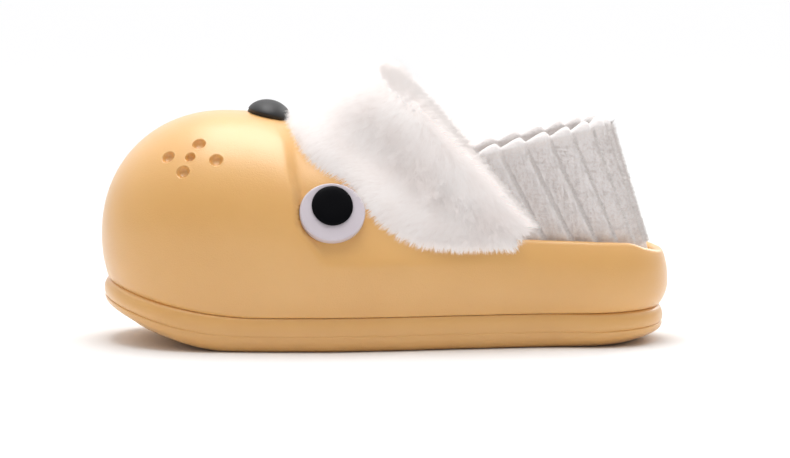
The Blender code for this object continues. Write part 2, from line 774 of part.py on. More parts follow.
def cuff_loops(count):
    """Loops of the cuff's section, each with a point for every station."""
    q, hem, fold = cuff_lines(count)
    edge = edge_under(q)
    end = ease((1 - np.abs(q)) / 0.16)[:, None]
    crown = 1 + CUFF_CROWN_SHARE * (1 - ease(np.abs(q) / 0.4))[:, None]
    depth = CUFF_DEPTH * (0.55 + 0.45 * end) * crown
    normal_edge = outward(edge)
    under = []
    for share in (0.0, 0.33, 0.67, 1.0):
        base = on_last(between(hem - FIRST_AXIS, edge - FIRST_AXIS, share))
        under.append(base + outward(base) * CUFF_GAP)
    rim_in = inside_of(edge, WALL)
    crest = unit(np.cross(np.gradient(edge, axis=0), normal_edge))
    rim_middle = (edge + rim_in) / 2
    rim_round = WALL / 2 + TUCK_GAP
    rim_out = unit(edge - rim_in)
    rim_arc = []
    for angle in CUFF_RIM_ANGLES:
        rim_arc.append(rim_middle + (rim_out * np.cos(angle) + crest * np.sin(angle)) * rim_round)
    inner_edge = rim_in - normal_edge * TUCK_GAP
    tuck_way = unit(under[1] - edge)
    tuck_outer = on_last(edge + tuck_way * CUFF_TUCK * (0.35 + 0.65 * end) - FIRST_AXIS)
    tuck_in = inside_of(tuck_outer, WALL)
    tuck_wall = tuck_in - outward(tuck_outer) * TUCK_GAP
    tuck_free = tuck_in - outward(tuck_outer) * (TUCK_GAP + CUFF_LINING)
    free_edge = inner_edge - normal_edge * CUFF_LINING
    stand = unit(fold - (edge + rim_in) / 2)
    across = unit(normal_edge - stand * (normal_edge * stand).sum(-1, keepdims=True))
    fold_in = fold - across * depth * 0.45
    inner_mid = (free_edge + fold_in) / 2
    fold_top = fold + stand * depth * 0.42
    fold_out = fold + across * depth * 0.55
    outer = []
    for share in (0.0, 0.22, 0.44, 0.66, 0.85):
        over_foam = min(share / EDGE_SHARE, 1)
        upward = max((share - EDGE_SHARE) / (1 - EDGE_SHARE), 0)
        base = under[0] + (under[3] - under[0]) * over_foam + (fold - under[3]) * upward
        push = unit(outward(hem) * (1 - share) + across * share)
        loft = smooth_curve(CUFF_LOFT, 1, share) * (1 - 0.45 * upward)
        outer.append(base + push * depth * loft)
    inside = [fold_out, fold_top, fold_in, inner_mid, free_edge, tuck_free, tuck_wall, inner_edge]
    return np.array([*outer, *inside, *rim_arc, *under[::-1]])


def make_fur_cuff(look):
    """The cuff as one solid whose outside carries a field of pointed locks that lie towards the hem."""
    loops = cuff_loops(CUFF_STEPS)
    size, stations = loops.shape[:2]
    points = [p for s in range(stations) for p in loops[:, s]]
    faces = []
    for s in range(stations - 1):
        for k in range(size):
            m = (k + 1) % size
            face = (s * size + k, s * size + m, (s + 1) * size + m, (s + 1) * size + k)
            if k >= LOCK_COLUMNS:
                faces.append(face)
                continue
            corners = np.array([points[i] for i in face])
            centre = corners.mean(axis=0)
            normal = unit(np.cross(corners[2] - corners[0], corners[3] - corners[1]))
            downhill = unit((corners[0] + corners[3]) - (corners[1] + corners[2]))
            turn = 0.35 * np.sin(2.1 * s + 1.7 * k)
            sideways = np.cross(normal, downhill)
            length = min(LOCK_LENGTH, 0.9 * np.linalg.norm(corners[1] - corners[0]))
            outwards = np.sign((normal * (centre - points[s * size + CUFF_MIDDLE_COLUMN])).sum())
            rise = LOCK_RISE * (1.0 + 0.35 * np.sin(3.3 * s + 0.9 * k)) * outwards
            top = len(points)
            points.append(centre + (downhill + sideways * turn) * length * 0.5 + normal * rise)
            for i in range(4):
                faces.append((face[i], face[(i + 1) % 4], top))
    faces.append(tuple(range(size)))
    faces.append(tuple((stations - 1) * size + k for k in range(size)))
    make_object("fur_cuff", points, faces, look)


# Face

def conforming_disc(name, look, centre, normal, up, half_long, half_wide, rings, sides, sunk=-GAP):
    """A round piece whose back follows the last, and whose front stands over a flat plane.

    Rings are pairs of radius share and height over the centre point along the normal. Sunk is how far under
    the last's surface the back lies.
    """
    normal = unit(normal)
    up = unit(up - normal * (up * normal).sum())
    across = np.cross(normal, up)
    angle = np.linspace(0, 2 * np.pi, sides, endpoint=False)
    flat = np.stack([np.cos(angle) * half_wide, np.sin(angle) * half_long], axis=-1)
    points = []
    for share, rise in rings:
        points.extend(centre + across * (f[0] * share) + up * (f[1] * share) + normal * rise for f in flat)
    front = len(points)
    points.append(centre + normal * rings[-1][1])
    loops = []
    shares = (1.0, 0.7, 0.4, 0.0)
    for share in shares:
        for f in flat if share else flat[:1]:
            ray = centre + across * (f[0] * share) + up * (f[1] * share) + normal * half_long
            far = crossing(ray[None], -normal[None], 4 * half_long, lambda p: 2 - last_value(p))[0]
            loops.append(ray - normal * (far + sunk))
    back = len(points)
    points.extend(loops)
    faces = []
    for r in range(len(rings) - 1):
        for i in range(sides):
            j = (i + 1) % sides
            faces.append((r * sides + i, r * sides + j, (r + 1) * sides + j, (r + 1) * sides + i))
    last_ring = (len(rings) - 1) * sides
    for i in range(sides):
        j = (i + 1) % sides
        faces.append((last_ring + i, last_ring + j, front))
        faces.append((i, j, back + j, back + i))
        for r in range(len(shares) - 2):
            low = back + r * sides
            faces.append((low + i, low + j, low + sides + j, low + sides + i))
        low = back + (len(shares) - 2) * sides
        faces.append((low + i, low + j, low + sides))
    return make_object(name, points, faces, look)


def eye_place(sign):
    """Centre, outward direction and upward direction of an eye's seat on the face."""
    x = np.array([-EYE_FORWARD])
    z = np.array([EYE_HEIGHT])
    seat = np.stack([x, side_at(x, z, sign), z], axis=-1)
    up = np.array([0.0, 0.0, 1.0])
    normal = unit(outward(seat, 8 * STEP_WIDTH)[0] + EYE_TILT * up)
    return seat[0], normal, up


def make_eye(side, sign, white, black, upper):
    """An eye's white disc in a shallow seat that it cuts into the upper, with its pupil."""
    seat, normal, up = eye_place(sign)
    half = EYE_WIDTH / 2
    seat_cutter = conforming_disc("seat_" + side, white, seat, normal, up, half + GAP, half + GAP,
                                  ((1.0, 3 * EYE_THICKNESS), (0.9, 3 * EYE_THICKNESS)), PUPIL_SIDES, EYE_SEAT)
    cut(upper, seat_cutter)
    bevel = EYE_BEVEL / half
    rings = ((1.0, EYE_THICKNESS - EYE_BEVEL), (1.0 - bevel * 0.3, EYE_THICKNESS - 0.3 * EYE_BEVEL),
             (1.0 - bevel, EYE_THICKNESS))
    sunk = EYE_SEAT - GAP
    conforming_disc("eye_white_" + side, white, seat, normal, up, half, half, rings, PUPIL_SIDES, sunk)
    up = unit(up - normal * (up * normal).sum())
    across = np.cross(normal, up)
    centre = seat + normal * (EYE_THICKNESS + GAP) + up * PUPIL_RAISE
    radius = PUPIL_WIDTH / 2
    points = []
    for share, rise in ((0.97, 0.0), (1.0, 0.3), (0.93, 0.72), (0.55, 1.0)):
        for i in range(PUPIL_SIDES):
            a = 2 * np.pi * i / PUPIL_SIDES
            flat = across * np.cos(a) + up * np.sin(a)
            points.append(centre + flat * radius * share + normal * PUPIL_THICKNESS * rise)
    faces = ring_faces(4, PUPIL_SIDES, closed=False)
    faces.append(tuple(range(PUPIL_SIDES)))
    faces.append(tuple(3 * PUPIL_SIDES + i for i in range(PUPIL_SIDES)))
    make_object("pupil_" + side, points, faces, black)


def make_nose(look):
    hem_front = x_of(CUFF[0][1])
    x = np.array([hem_front - NOSE_CLEAR - NOSE_LENGTH / 2])
    row = last_rows(x)
    seat = np.stack([x, row["middle"], row["ridge"]], axis=-1)
    normal = outward(seat, 8 * STEP_WIDTH)[0]
    rings = [(0.98, 0.0)]
    for share in np.linspace(0.14, 0.92, 5):
        angle = share * np.pi / 2
        rings.append((np.cos(angle) ** 0.8, NOSE_RISE * np.sin(angle)))
    conforming_disc("nose", look, seat[0], normal, np.array([-1.0, 0.0, 0.2]),
                    NOSE_LENGTH / 2, NOSE_WIDTH / 2, rings, PUPIL_SIDES)


def main():
    for old in list(bpy.data.objects):
        bpy.data.objects.remove(old)
    foam = material("foam", FOAM)
    plush = material("plush", PLUSH)
    white = material("eye_white", EYE_WHITE)
    black = material("black", BLACK)
    make_sole(foam)
    upper = make_upper(foam)
    make_insole(plush)
    make_heel_collar(plush)
    make_fur_cuff(material("fur", FUR))
    make_nose(black)
    make_eye("outer", -1, white, black, upper)
    make_eye("inner", 1, white, black, upper)


main()
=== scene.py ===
"""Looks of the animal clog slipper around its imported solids.

Metres, +Z up, toe to -X, outer side to -Y. The form functions repeat those of the part's source, so that each
piece lies where its solid is.
"""

import math

import bmesh
import bpy
import numpy as np
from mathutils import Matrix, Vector, kdtree


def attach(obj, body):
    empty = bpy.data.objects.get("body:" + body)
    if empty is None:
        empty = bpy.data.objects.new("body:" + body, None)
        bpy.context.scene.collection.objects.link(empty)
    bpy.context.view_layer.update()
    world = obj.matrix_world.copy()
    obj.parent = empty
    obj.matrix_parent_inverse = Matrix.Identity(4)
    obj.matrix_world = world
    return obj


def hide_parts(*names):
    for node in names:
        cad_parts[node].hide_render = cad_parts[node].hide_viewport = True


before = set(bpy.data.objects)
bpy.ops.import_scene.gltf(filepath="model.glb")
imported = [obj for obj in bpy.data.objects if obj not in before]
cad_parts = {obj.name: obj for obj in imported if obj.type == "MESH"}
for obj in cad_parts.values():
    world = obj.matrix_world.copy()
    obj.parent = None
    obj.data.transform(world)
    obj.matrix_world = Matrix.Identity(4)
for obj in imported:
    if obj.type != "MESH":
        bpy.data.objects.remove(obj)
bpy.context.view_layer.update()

# Driving sizes of the foam clog
LENGTH = 0.275
BALL_WIDTH = 0.111
HEEL_WIDTH = 0.077
DOME_HEIGHT = 0.1110
RIM_HEIGHT = 0.0492
WALL = 0.005
TOE_REACH = 0.0605
HEEL_REACH = 0.0405
CAP_ROUNDNESS = 2.1
THROAT_BACK = 0.0975
SIDE_SHIFT = 0.0019
TOE_RISE_PLACE = 0.282
FLOOR_RISE_PLACE = 0.238
STEP_DEPTH = 0.0050
EDGE_FORWARD = 0.0035
STEP_WIDTH = 0.0024

# Driving sizes of the sole
SOLE_HEIGHT = 0.0163
TOE_LIFT = 0.0155
TOE_SPRING = 0.0170
HEEL_LIFT = 0.0014
HEEL_SPRING = 0.0030
ARCH_RELIEF = 0.0015
LIP = 0.0032
ROLL_MIDDLE = 0.0035
ROLL_ENDS = 0.0090
TREAD_DEPTH = 0.0018
TREAD_WIDTH = 0.0030
TREAD_PITCH = 0.0110
TREAD_MARGIN = 0.0140

# Plush pieces
INSOLE_THICKNESS = 0.006
INSOLE_CUP = 0.0025
COLLAR_HEIGHT = 0.1075
COLLAR_FRONT_DROP = 0.0150
COLLAR_WALL = 0.0042
COLLAR_LEAN = 0.0180
COLLAR_TOP_WIDTH = 0.0600
RIB_PITCH = 0.0108
RIB_RELIEF = 0.0030
RIB_CREST = 0.78
CUFF_HEIGHT = 0.1325
CUFF_DEPTH = 0.0095
CUFF_CROWN = 0.35
CUFF_LINING = 0.0030
CUFF_TUCK = 0.0120

# Face
EYE_WIDTH = 0.031
EYE_THICKNESS = 0.0028
EYE_BEVEL = 0.0009
EYE_FORWARD = 0.0245
EYE_HEIGHT = 0.0656
EYE_TILT = 0.14
EYE_SQUASH = 0.92
EYE_SEAT = 0.0010
PUPIL_WIDTH = 0.0195
PUPIL_THICKNESS = 0.0016
PUPIL_RAISE = 0.0028
NOSE_LENGTH = 0.0215
NOSE_WIDTH = 0.0280
NOSE_RISE = 0.0068
NOSE_FORWARD = 0.0555
DIMPLE_WIDTH = 0.0065
DIMPLE_SMALL = 0.0050
DIMPLE_DEPTH = 0.0026

# Clearances between pieces
GAP = 0.0003
SOFT_GAP = 0.0006
CUFF_GAP = 0.0010
TUCK_GAP = 0.0018

# The last, a row per section. Place is the share of the length from the toe. Ball says how far the ball's
# and the dome's sizes govern the row, the rest following the heel's. Widths are shares of that width, heights
# of that height.
LAST = (
    # place, ball, outer, inner, widest, ridge, under, roundness
    (0.00, 1.00, 0.486, 0.482, 0.457, 1.000, 2.90, 2.15),
    (0.22, 1.00, 0.488, 0.486, 0.448, 1.000, 2.70, 2.15),
    (0.28, 1.00, 0.497, 0.486, 0.435, 0.993, 2.50, 2.15),
    (0.33, 1.00, 0.503, 0.480, 0.418, 0.962, 2.30, 2.20),
    (0.38, 1.00, 0.503, 0.464, 0.400, 0.915, 2.20, 2.25),
    (0.50, 0.75, 0.499, 0.446, 0.420, 0.945, 2.20, 2.30),
    (0.64, 0.40, 0.474, 0.424, 0.460, 1.105, 2.20, 2.35),
    (0.80, 0.00, 0.486, 0.472, 0.605, 1.440, 2.10, 2.40),
    (0.90, 0.00, 0.497, 0.488, 0.594, 1.380, 2.10, 2.40),
    (1.00, 0.00, 0.497, 0.488, 0.594, 1.360, 2.10, 2.40),
)
LAST_COLUMNS = ("ball", "outer", "inner", "widest", "ridge", "under", "roundness")

# How far the middle line moves to the inner side, as shares of the ball width.
MIDDLE = (
    # place, shift
    (0.00, 0.040),
    (0.20, 0.016),
    (0.36, 0.002),
    (0.60, -0.010),
    (0.85, 0.000),
    (1.00, 0.000),
)

# The foam collar's edge seen from the side. Along goes from the throat, 0, to where the rim levels, 1, and
# past it. Height is a share of the way from the rim up to the throat.
COLLAR_EDGE = (
    # along, height
    (0.00, 1.000),
    (0.20, 0.790),
    (0.45, 0.500),
    (0.70, 0.225),
    (0.88, 0.065),
    (1.00, 0.020),
    (1.30, 0.000),
    (1.50, -0.018),
    (1.58, -0.070),
    (1.66, -0.112),
)

# The edge of the muzzle seen from the side. Height is a share of the dome, place one of the length from the
# toe, depth one of the step's.
MUZZLE_EDGE = (
    # height, place, depth
    (0.00, 0.430, 0.00),
    (0.36, 0.410, 0.00),
    (0.46, 0.392, 0.55),
    (0.55, 0.368, 1.00),
    (0.66, 0.364, 1.00),
    (0.75, 0.355, 1.00),
    (0.87, 0.345, 0.90),
    (0.96, 0.325, 0.60),
    (1.10, 0.310, 0.50),
)

# The sole's side, from the groove down. Reach is a share of the lip, roll a share of the inward roll.
SOLE_SIDE = (
    # drop, reach, roll
    (0.00, -0.30, 0.0),
    (0.06, 0.16, 0.0),
    (0.20, 0.52, 0.0),
    (0.38, 0.68, 0.02),
    (0.50, 0.72, 0.08),
    (0.53, 0.60, 0.09),
    (0.56, 0.80, 0.10),
    (0.72, 0.96, 0.24),
    (0.87, 0.62, 0.50),
    (0.97, 0.30, 0.86),
    (1.00, 0.20, 1.15),
)

# The fur cuff, a row per fold station from its top centre, 0, to its end beside the heel, 1. Places are
# shares of the length from the toe, heights of the cuff's height, spreads of the ball's half width.
CUFF = (
    # station, hem place, hem spread, hem height, fold place, fold spread, fold height
    (0.00, 0.337, 0.00, 0.790, 0.507, 0.00, 0.965),
    (0.12, 0.348, 0.36, 0.765, 0.514, 0.15, 0.957),
    (0.30, 0.388, 0.65, 0.675, 0.533, 0.35, 0.918),
    (0.45, 0.434, 0.67, 0.608, 0.562, 0.50, 0.865),
    (0.60, 0.484, 0.80, 0.500, 0.596, 0.60, 0.780),
    (0.75, 0.550, 0.83, 0.400, 0.642, 0.66, 0.675),
    (0.88, 0.622, 0.74, 0.372, 0.690, 0.71, 0.550),
    (1.00, 0.712, 0.66, 0.380, 0.744, 0.74, 0.425),
)
CUFF_COLUMNS = ("hem_place", "hem_spread", "hem_height", "fold_place", "fold_spread", "fold_height")

# The cuff's depth over the foam, from its hem, 0, to its fold, 1, as shares of the full depth.
CUFF_LOFT = ((0.00, 0.42), (0.15, 0.80), (0.35, 1.00), (0.60, 1.00), (0.85, 0.86), (1.00, 0.62))

# The footbed's side, from its top down: shares of its thickness and of its cup, and how far it is set in.
FOOTBED_SIDE = (
    (1.0, 0.00, 0.0105),
    (1.0, 0.10, 0.0075),
    (1.0, 0.45, 0.0048),
    (1.0, 0.90, 0.0026),
    (1.0, 1.00, 0.0014),
    (1.0, 0.85, 0.0005),
    (1.0, 0.50, 0.0002),
    (0.5, 0.00, 0.0),
    (0.0, 0.00, 0.0004),
)

# Dimples on each side of the muzzle, forward of the shoe's middle and up, as shares of length and dome.
DIMPLES = (
    # forward, up, small
    (0.3190, 0.876, False),
    (0.3725, 0.820, False),
    (0.3335, 0.824, True),
    (0.2880, 0.813, False),
    (0.3450, 0.763, False),
)


def smooth_curve(table, column, at):
    """Value of one column of a table at any place, on a curve that passes each row without overshoot."""
    rows = np.array([[float(row[0]), float(row[column])] for row in table])
    x, y = rows.T
    steps = np.diff(x)
    slopes = np.diff(y) / steps
    tangent = np.zeros(len(x))
    same = slopes[1:] * slopes[:-1] > 0
    inner = 2 * slopes[1:] * slopes[:-1] / np.where(same, slopes[1:] + slopes[:-1], 1)
    tangent[1:-1] = np.where(same, inner, 0)
    tangent[0] = slopes[0]
    tangent[-1] = slopes[-1]
    at = np.clip(np.asarray(at, float), x[0], x[-1])
    i = np.clip(np.searchsorted(x, at, side="right") - 1, 0, len(x) - 2)
    t = (at - x[i]) / steps[i]
    start = (1 + 2 * t) * (1 - t) ** 2 * y[i] + t * (1 - t) ** 2 * steps[i] * tangent[i]
    end = t**2 * (3 - 2 * t) * y[i + 1] + t**2 * (t - 1) * steps[i] * tangent[i + 1]
    return start + end


def ease(value):
    """0 below 0, 1 above 1, and smooth between."""
    value = np.clip(value, 0, 1)
    return value * value * (3 - 2 * value)


def place_of(x):
    return x / LENGTH + 0.5


def x_of(place):
    return (place - 0.5) * LENGTH


def unit(v):
    return v / np.maximum(np.linalg.norm(v, axis=-1, keepdims=True), 1e-12)


# The last's own surface

TOE_CENTRE = -LENGTH / 2 + TOE_REACH
HEEL_CENTRE = LENGTH / 2 - HEEL_REACH
FIRST_AXIS = np.array([-0.10 * LENGTH, SIDE_SHIFT, 0.30 * DOME_HEIGHT])
THROAT_X = -LENGTH / 2 + THROAT_BACK
LEVEL_X = x_of(0.735)
CUFF_END_X = x_of(0.722)


def last_rows(x):
    """The last's section at x, in metres apart from the shares."""
    place = place_of(x)
    row = {name: smooth_curve(LAST, 1 + i, place) for i, name in enumerate(LAST_COLUMNS)}
    width = row["ball"] * BALL_WIDTH + (1 - row["ball"]) * HEEL_WIDTH
    height = row["ball"] * DOME_HEIGHT + (1 - row["ball"]) * RIM_HEIGHT
    row["outer"] = row["outer"] * width
    row["inner"] = row["inner"] * width
    row["widest"] = row["widest"] * height
    row["ridge"] = row["ridge"] * height
    row["middle"] = smooth_curve(MIDDLE, 1, place) * BALL_WIDTH + SIDE_SHIFT
    return row


def feather_height(x):
    """Height of the line where upper and sole meet."""
    toe = np.clip(1 - place_of(x) / TOE_RISE_PLACE, 0, None)
    heel = np.clip((place_of(x) - 0.78) / 0.22, 0, None)
    return SOLE_HEIGHT + TOE_LIFT * toe**1.75 + HEEL_LIFT * heel**2


def floor_height(x):
    """Height of the sole's underside."""
    toe = np.clip(1 - place_of(x) / FLOOR_RISE_PLACE, 0, None)
    heel = np.clip((place_of(x) - 0.85) / 0.15, 0, None)
    return TOE_SPRING * toe**1.8 + HEEL_SPRING * heel**2


def muzzle_step(x, z, width):
    """How far the face behind the muzzle is set in from the last."""
    share = z / DOME_HEIGHT
    edge = x_of(smooth_curve(MUZZLE_EDGE, 1, share)) - EDGE_FORWARD
    depth = smooth_curve(MUZZLE_EDGE, 2, share) * STEP_DEPTH
    spread = width * (1 + 1.5 * ease((0.62 - share) / 0.2))
    back = 1 - 0.7 * ease((x - x_of(0.50)) / (0.25 * LENGTH))
    return depth * ease((x - edge) / spread + 0.35) * back


def last_value(points, shrink=0.0, step_width=STEP_WIDTH):
    """Under 1 inside the last, over 1 outside. Shrink sets the surface in, as for the inside of the wall."""
    x, y, z = points[..., 0], points[..., 1], points[..., 2]
    row = last_rows(x)
    side = y - row["middle"]
    half = np.where(side < 0, row["outer"], row["inner"]) - muzzle_step(x, z, step_width) - shrink
    up = z - row["widest"]
    reach = np.where(up > 0, row["ridge"] - row["widest"] - shrink, 0)
    reach = np.where(up > 0, reach, row["under"] * (row["widest"] - feather_height(x)))
    power = np.where(up > 0, row["roundness"], 2.3)
    section = np.abs(side / half) ** power + np.abs(up / reach) ** power
    toe = np.clip((TOE_CENTRE - x) / (TOE_REACH - shrink), 0, None)
    heel = np.clip((x - HEEL_CENTRE) / (HEEL_REACH - shrink), 0, None)
    return section ** (CAP_ROUNDNESS / power) + toe**CAP_ROUNDNESS + heel**CAP_ROUNDNESS


def crossing(start, way, far, value):
    """Distance from start along way at which value passes 1, found by halving."""
    low = np.zeros(start.shape[:-1])
    high = np.full(start.shape[:-1], far)
    for _ in range(44):
        middle = (low + high) / 2
        out = value(start + way * middle[..., None]) > 1
        high = np.where(out, middle, high)
        low = np.where(out, low, middle)
    return (low + high) / 2


def on_last(way, shrink=0.0):
    """Points of the last's surface seen from the first axis point in the given directions."""
    way = unit(way)
    start = np.broadcast_to(FIRST_AXIS, way.shape)
    far = crossing(start, way, LENGTH, lambda p: last_value(p, shrink))
    return start + way * far[..., None]


def outward(points, step_width=3 * STEP_WIDTH):
    """Unit normals of the last, taken on a softened muzzle step so that the wall's inside stays smooth."""
    d = 2e-4
    grad = []
    for axis in range(3):
        move = np.zeros(3)
        move[axis] = d
        ahead = last_value(points + move, step_width=step_width)
        grad.append(ahead - last_value(points - move, step_width=step_width))
    return unit(np.stack(grad, axis=-1))


def inside_of(points, depth):
    """The points straight inwards from these, on the surface set in by depth."""
    way = -outward(points)
    start = points - way * 0.001
    far = crossing(start, way, 4 * depth, lambda p: 2 - last_value(p, depth, 3 * STEP_WIDTH))
    return start + way * far[..., None]


def side_at(x, z, sign):
    """Y of the last's surface at x and z on the side of sign, the middle line where the last is narrower."""
    middle_line = last_rows(x)["middle"]
    start = np.stack([x, middle_line, z + 0 * x], axis=-1)
    return middle_line + sign * crossing(start, np.array([0, sign, 0]), BALL_WIDTH, last_value)


def along(points, shares):
    """Points at the given shares of a line's length."""
    steps = np.linalg.norm(np.diff(points, axis=0), axis=1)
    run = np.concatenate([[0], np.cumsum(steps)])
    return np.stack([np.interp(shares * run[-1], run, points[:, i]) for i in range(3)], axis=-1)


def half_loop(first, last, height, sign, shares):
    """One side of a loop round the last, from its front point to its back one, where height gives z for x."""
    turn = (1 - np.cos(np.linspace(0, np.pi, 400))) / 2
    x = first + (last - first) * turn
    z = height(x)
    y = side_at(x, z, sign)
    y[0] = last_rows(x[:1])["middle"][0]
    y[-1] = last_rows(x[-1:])["middle"][0]
    return along(np.stack([x, y, z], axis=-1), shares)


def end_of(height, direction):
    """X of the last's front or back end on the middle line, at the height that a line has there."""
    low, high = 0.0, LENGTH * 0.51
    for _ in range(44):
        x = direction * (low + high) / 2
        point = np.array([x, last_rows(np.array(x))["middle"], height(np.array(x))])
        out = last_value(point) > 1
        low, high = (low, (low + high) / 2) if out else ((low + high) / 2, high)
    return direction * low


def edge_height(x):
    """Height of the foam collar's edge at x."""
    throat = last_rows(np.array(THROAT_X))["ridge"]
    way = (x - THROAT_X) / (LEVEL_X - THROAT_X)
    return RIM_HEIGHT + (throat - RIM_HEIGHT) * smooth_curve(COLLAR_EDGE, 1, way)


def around(first, last, height, shares):
    """A whole loop: out along the outer side from the toe to the heel, and back along the inner side."""
    outer = half_loop(first, last, height, -1, shares)
    inner = half_loop(first, last, height, 1, shares)
    return np.concatenate([outer, inner[-2:0:-1]])


def feather_loop(count):
    shares = np.linspace(0, 1, count // 2 + 1)
    return around(end_of(feather_height, -1), end_of(feather_height, 1), feather_height, shares)


def collar_loop(count):
    shares = np.linspace(0, 1, count // 2 + 1) ** 1.15
    return around(THROAT_X, end_of(edge_height, 1), edge_height, shares)


def between(start, end, share):
    """Directions turned evenly from start to end."""
    start, end = unit(start), unit(end)
    angle = np.arccos(np.clip((start * end).sum(-1, keepdims=True), -1, 1))
    return (np.sin((1 - share) * angle) * start + np.sin(share * angle) * end) / np.sin(angle)


def upper_rows(count, rows):
    """The upper's outer surface as loops from the sole line up to the collar's edge."""
    foot = feather_loop(count)
    edge = collar_loop(count)
    loops = [foot + np.array([0, 0, GAP / 2])]
    for share in np.linspace(0, 1, rows)[1:-1]:
        loops.append(on_last(between(foot - FIRST_AXIS, edge - FIRST_AXIS, share)))
    loops.append(edge)
    return np.array(loops)


# Fineness of the visible meshes
SHELL_AROUND = 360
SHELL_ROWS = 64
SOLE_LEVELS = 56
CUFF_STATIONS = 181
RIB_FINE = 16
COLLAR_TOP_LEVEL = 0.965
LINING_STATIONS = 121
DISC_SIDES = 96

DICE = np.random.default_rng(7)


# Meshes

def build(name, points, quads, tris=None, look=None, normals=None):
    """A smooth mesh object from arrays."""
    quads = np.asarray(quads, np.int32).reshape(-1, 4)
    tris = np.zeros((0, 3), np.int32) if tris is None else np.asarray(tris, np.int32).reshape(-1, 3)
    mesh = bpy.data.meshes.new(name)
    mesh.vertices.add(len(points))
    mesh.vertices.foreach_set("co", np.asarray(points, np.float32).ravel())
    corners = np.concatenate([quads.ravel(), tris.ravel()])
    mesh.loops.add(len(corners))
    mesh.loops.foreach_set("vertex_index", corners)
    starts = np.concatenate([np.arange(len(quads)) * 4, len(quads) * 4 + np.arange(len(tris)) * 3])
    mesh.polygons.add(len(starts))
    mesh.polygons.foreach_set("loop_start", starts.astype(np.int32))
    mesh.polygons.foreach_set("use_smooth", np.ones(len(starts), bool))
    mesh.update(calc_edges=True)
    mesh.validate()
    if look:
        mesh.materials.append(look)
    made = bpy.data.objects.new(name, mesh)
    bpy.context.scene.collection.objects.link(made)
    if normals is not None:
        mesh.normals_split_custom_set_from_vertices(np.asarray(normals, np.float32))
    return made


def ring_quads(rings, size, closed=True):
    """Quads between rings of points, the last ring joined to the first where closed."""
    r = np.arange(rings if closed else rings - 1)[:, None]
    i = np.arange(size)[None, :]
    j = (i + 1) % size
    low = r * size
    high = (r + 1) % rings * size
    return np.stack([low + i, low + j, high + j, high + i], axis=-1).reshape(-1, 4)


def face_out(made):
    """Turns the faces of a closed mesh outwards."""
    work = bmesh.new()
    work.from_mesh(made.data)
    bmesh.ops.remove_doubles(work, verts=work.verts, dist=1e-6)
    bmesh.ops.recalc_face_normals(work, faces=work.faces)
    work.to_mesh(made.data)
    work.free()
    return made


def swept(name, loops, look):
    """A closed band from loops of its section, each an array by station, with both its ends filled."""
    size, stations = loops.shape[:2]
    points = loops.transpose(1, 0, 2).reshape(-1, 3)
    caps = []
    for first in (0, (stations - 1) * size):
        for k in range(size // 2 - 1):
            caps.append((first + k, first + k + 1, first + size - 2 - k, first + size - 1 - k))
    quads = np.concatenate([ring_quads(stations, size, closed=False), caps])
    return face_out(build(name, points, quads, look=look))


def capped(name, rings, look):
    """A closed piece from rings of points, fanned shut at both ends."""
    count, size = rings.shape[:2]
    points = np.concatenate([rings.reshape(-1, 3), [rings[0].mean(axis=0), rings[-1].mean(axis=0)]])
    tris = []
    for tip, first in enumerate((0, (count - 1) * size)):
        tris.extend((first + i, first + (i + 1) % size, count * size + tip) for i in range(size))
    return face_out(build(name, points, ring_quads(count, size, closed=False), tris, look))


def dress(made, slot, *nodes):
    """Sets the piece to ride on the root and hides the imported parts it stands for; slot is not used."""
    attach(made, "root")
    if nodes:
        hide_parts(*nodes)
    return made


# Materials

def new_look(name, colour, roughness, more):
    """A material with its colour, its roughness and more of its shader's inputs by name."""
    look = bpy.data.materials.new(name)
    look.use_nodes = True
    tree = look.node_tree
    shader = tree.nodes["Principled BSDF"]
    for key, value in {"Base Color": (*colour, 1), "Roughness": roughness, **more}.items():
        shader.inputs[key].default_value = value
    return look, tree, shader


def add_node(tree, kind, **values):
    made = tree.nodes.new(kind)
    for key, value in values.items():
        if key in made.inputs:
            made.inputs[key].default_value = value
        else:
            setattr(made, key, value)
    return made


def noise(tree, scale, detail=2.0, rough=0.5):
    place = add_node(tree, "ShaderNodeTexCoord")
    made = add_node(tree, "ShaderNodeTexNoise", Scale=scale, Detail=detail, Roughness=rough)
    tree.links.new(place.outputs["Object"], made.inputs["Vector"])
    return made


def tint(tree, shader, factor, dark, light, low=0.3, high=0.7):
    """Base colour that runs from dark to light with a texture."""
    ramp = add_node(tree, "ShaderNodeValToRGB")
    ramp.color_ramp.elements[0].position = low
    ramp.color_ramp.elements[0].color = (*dark, 1)
    ramp.color_ramp.elements[1].position = high
    ramp.color_ramp.elements[1].color = (*light, 1)
    tree.links.new(factor, ramp.inputs["Fac"])
    tree.links.new(ramp.outputs["Color"], shader.inputs["Base Color"])


def bump(tree, shader, heights, distances):
    """Bump nodes in a row, one for each texture."""
    last = None
    for height, distance in zip(heights, distances):
        made = add_node(tree, "ShaderNodeBump", Distance=distance, Strength=1.0)
        tree.links.new(height, made.inputs["Height"])
        if last:
            tree.links.new(last.outputs["Normal"], made.inputs["Normal"])
        last = made
    tree.links.new(last.outputs["Normal"], shader.inputs["Normal"])
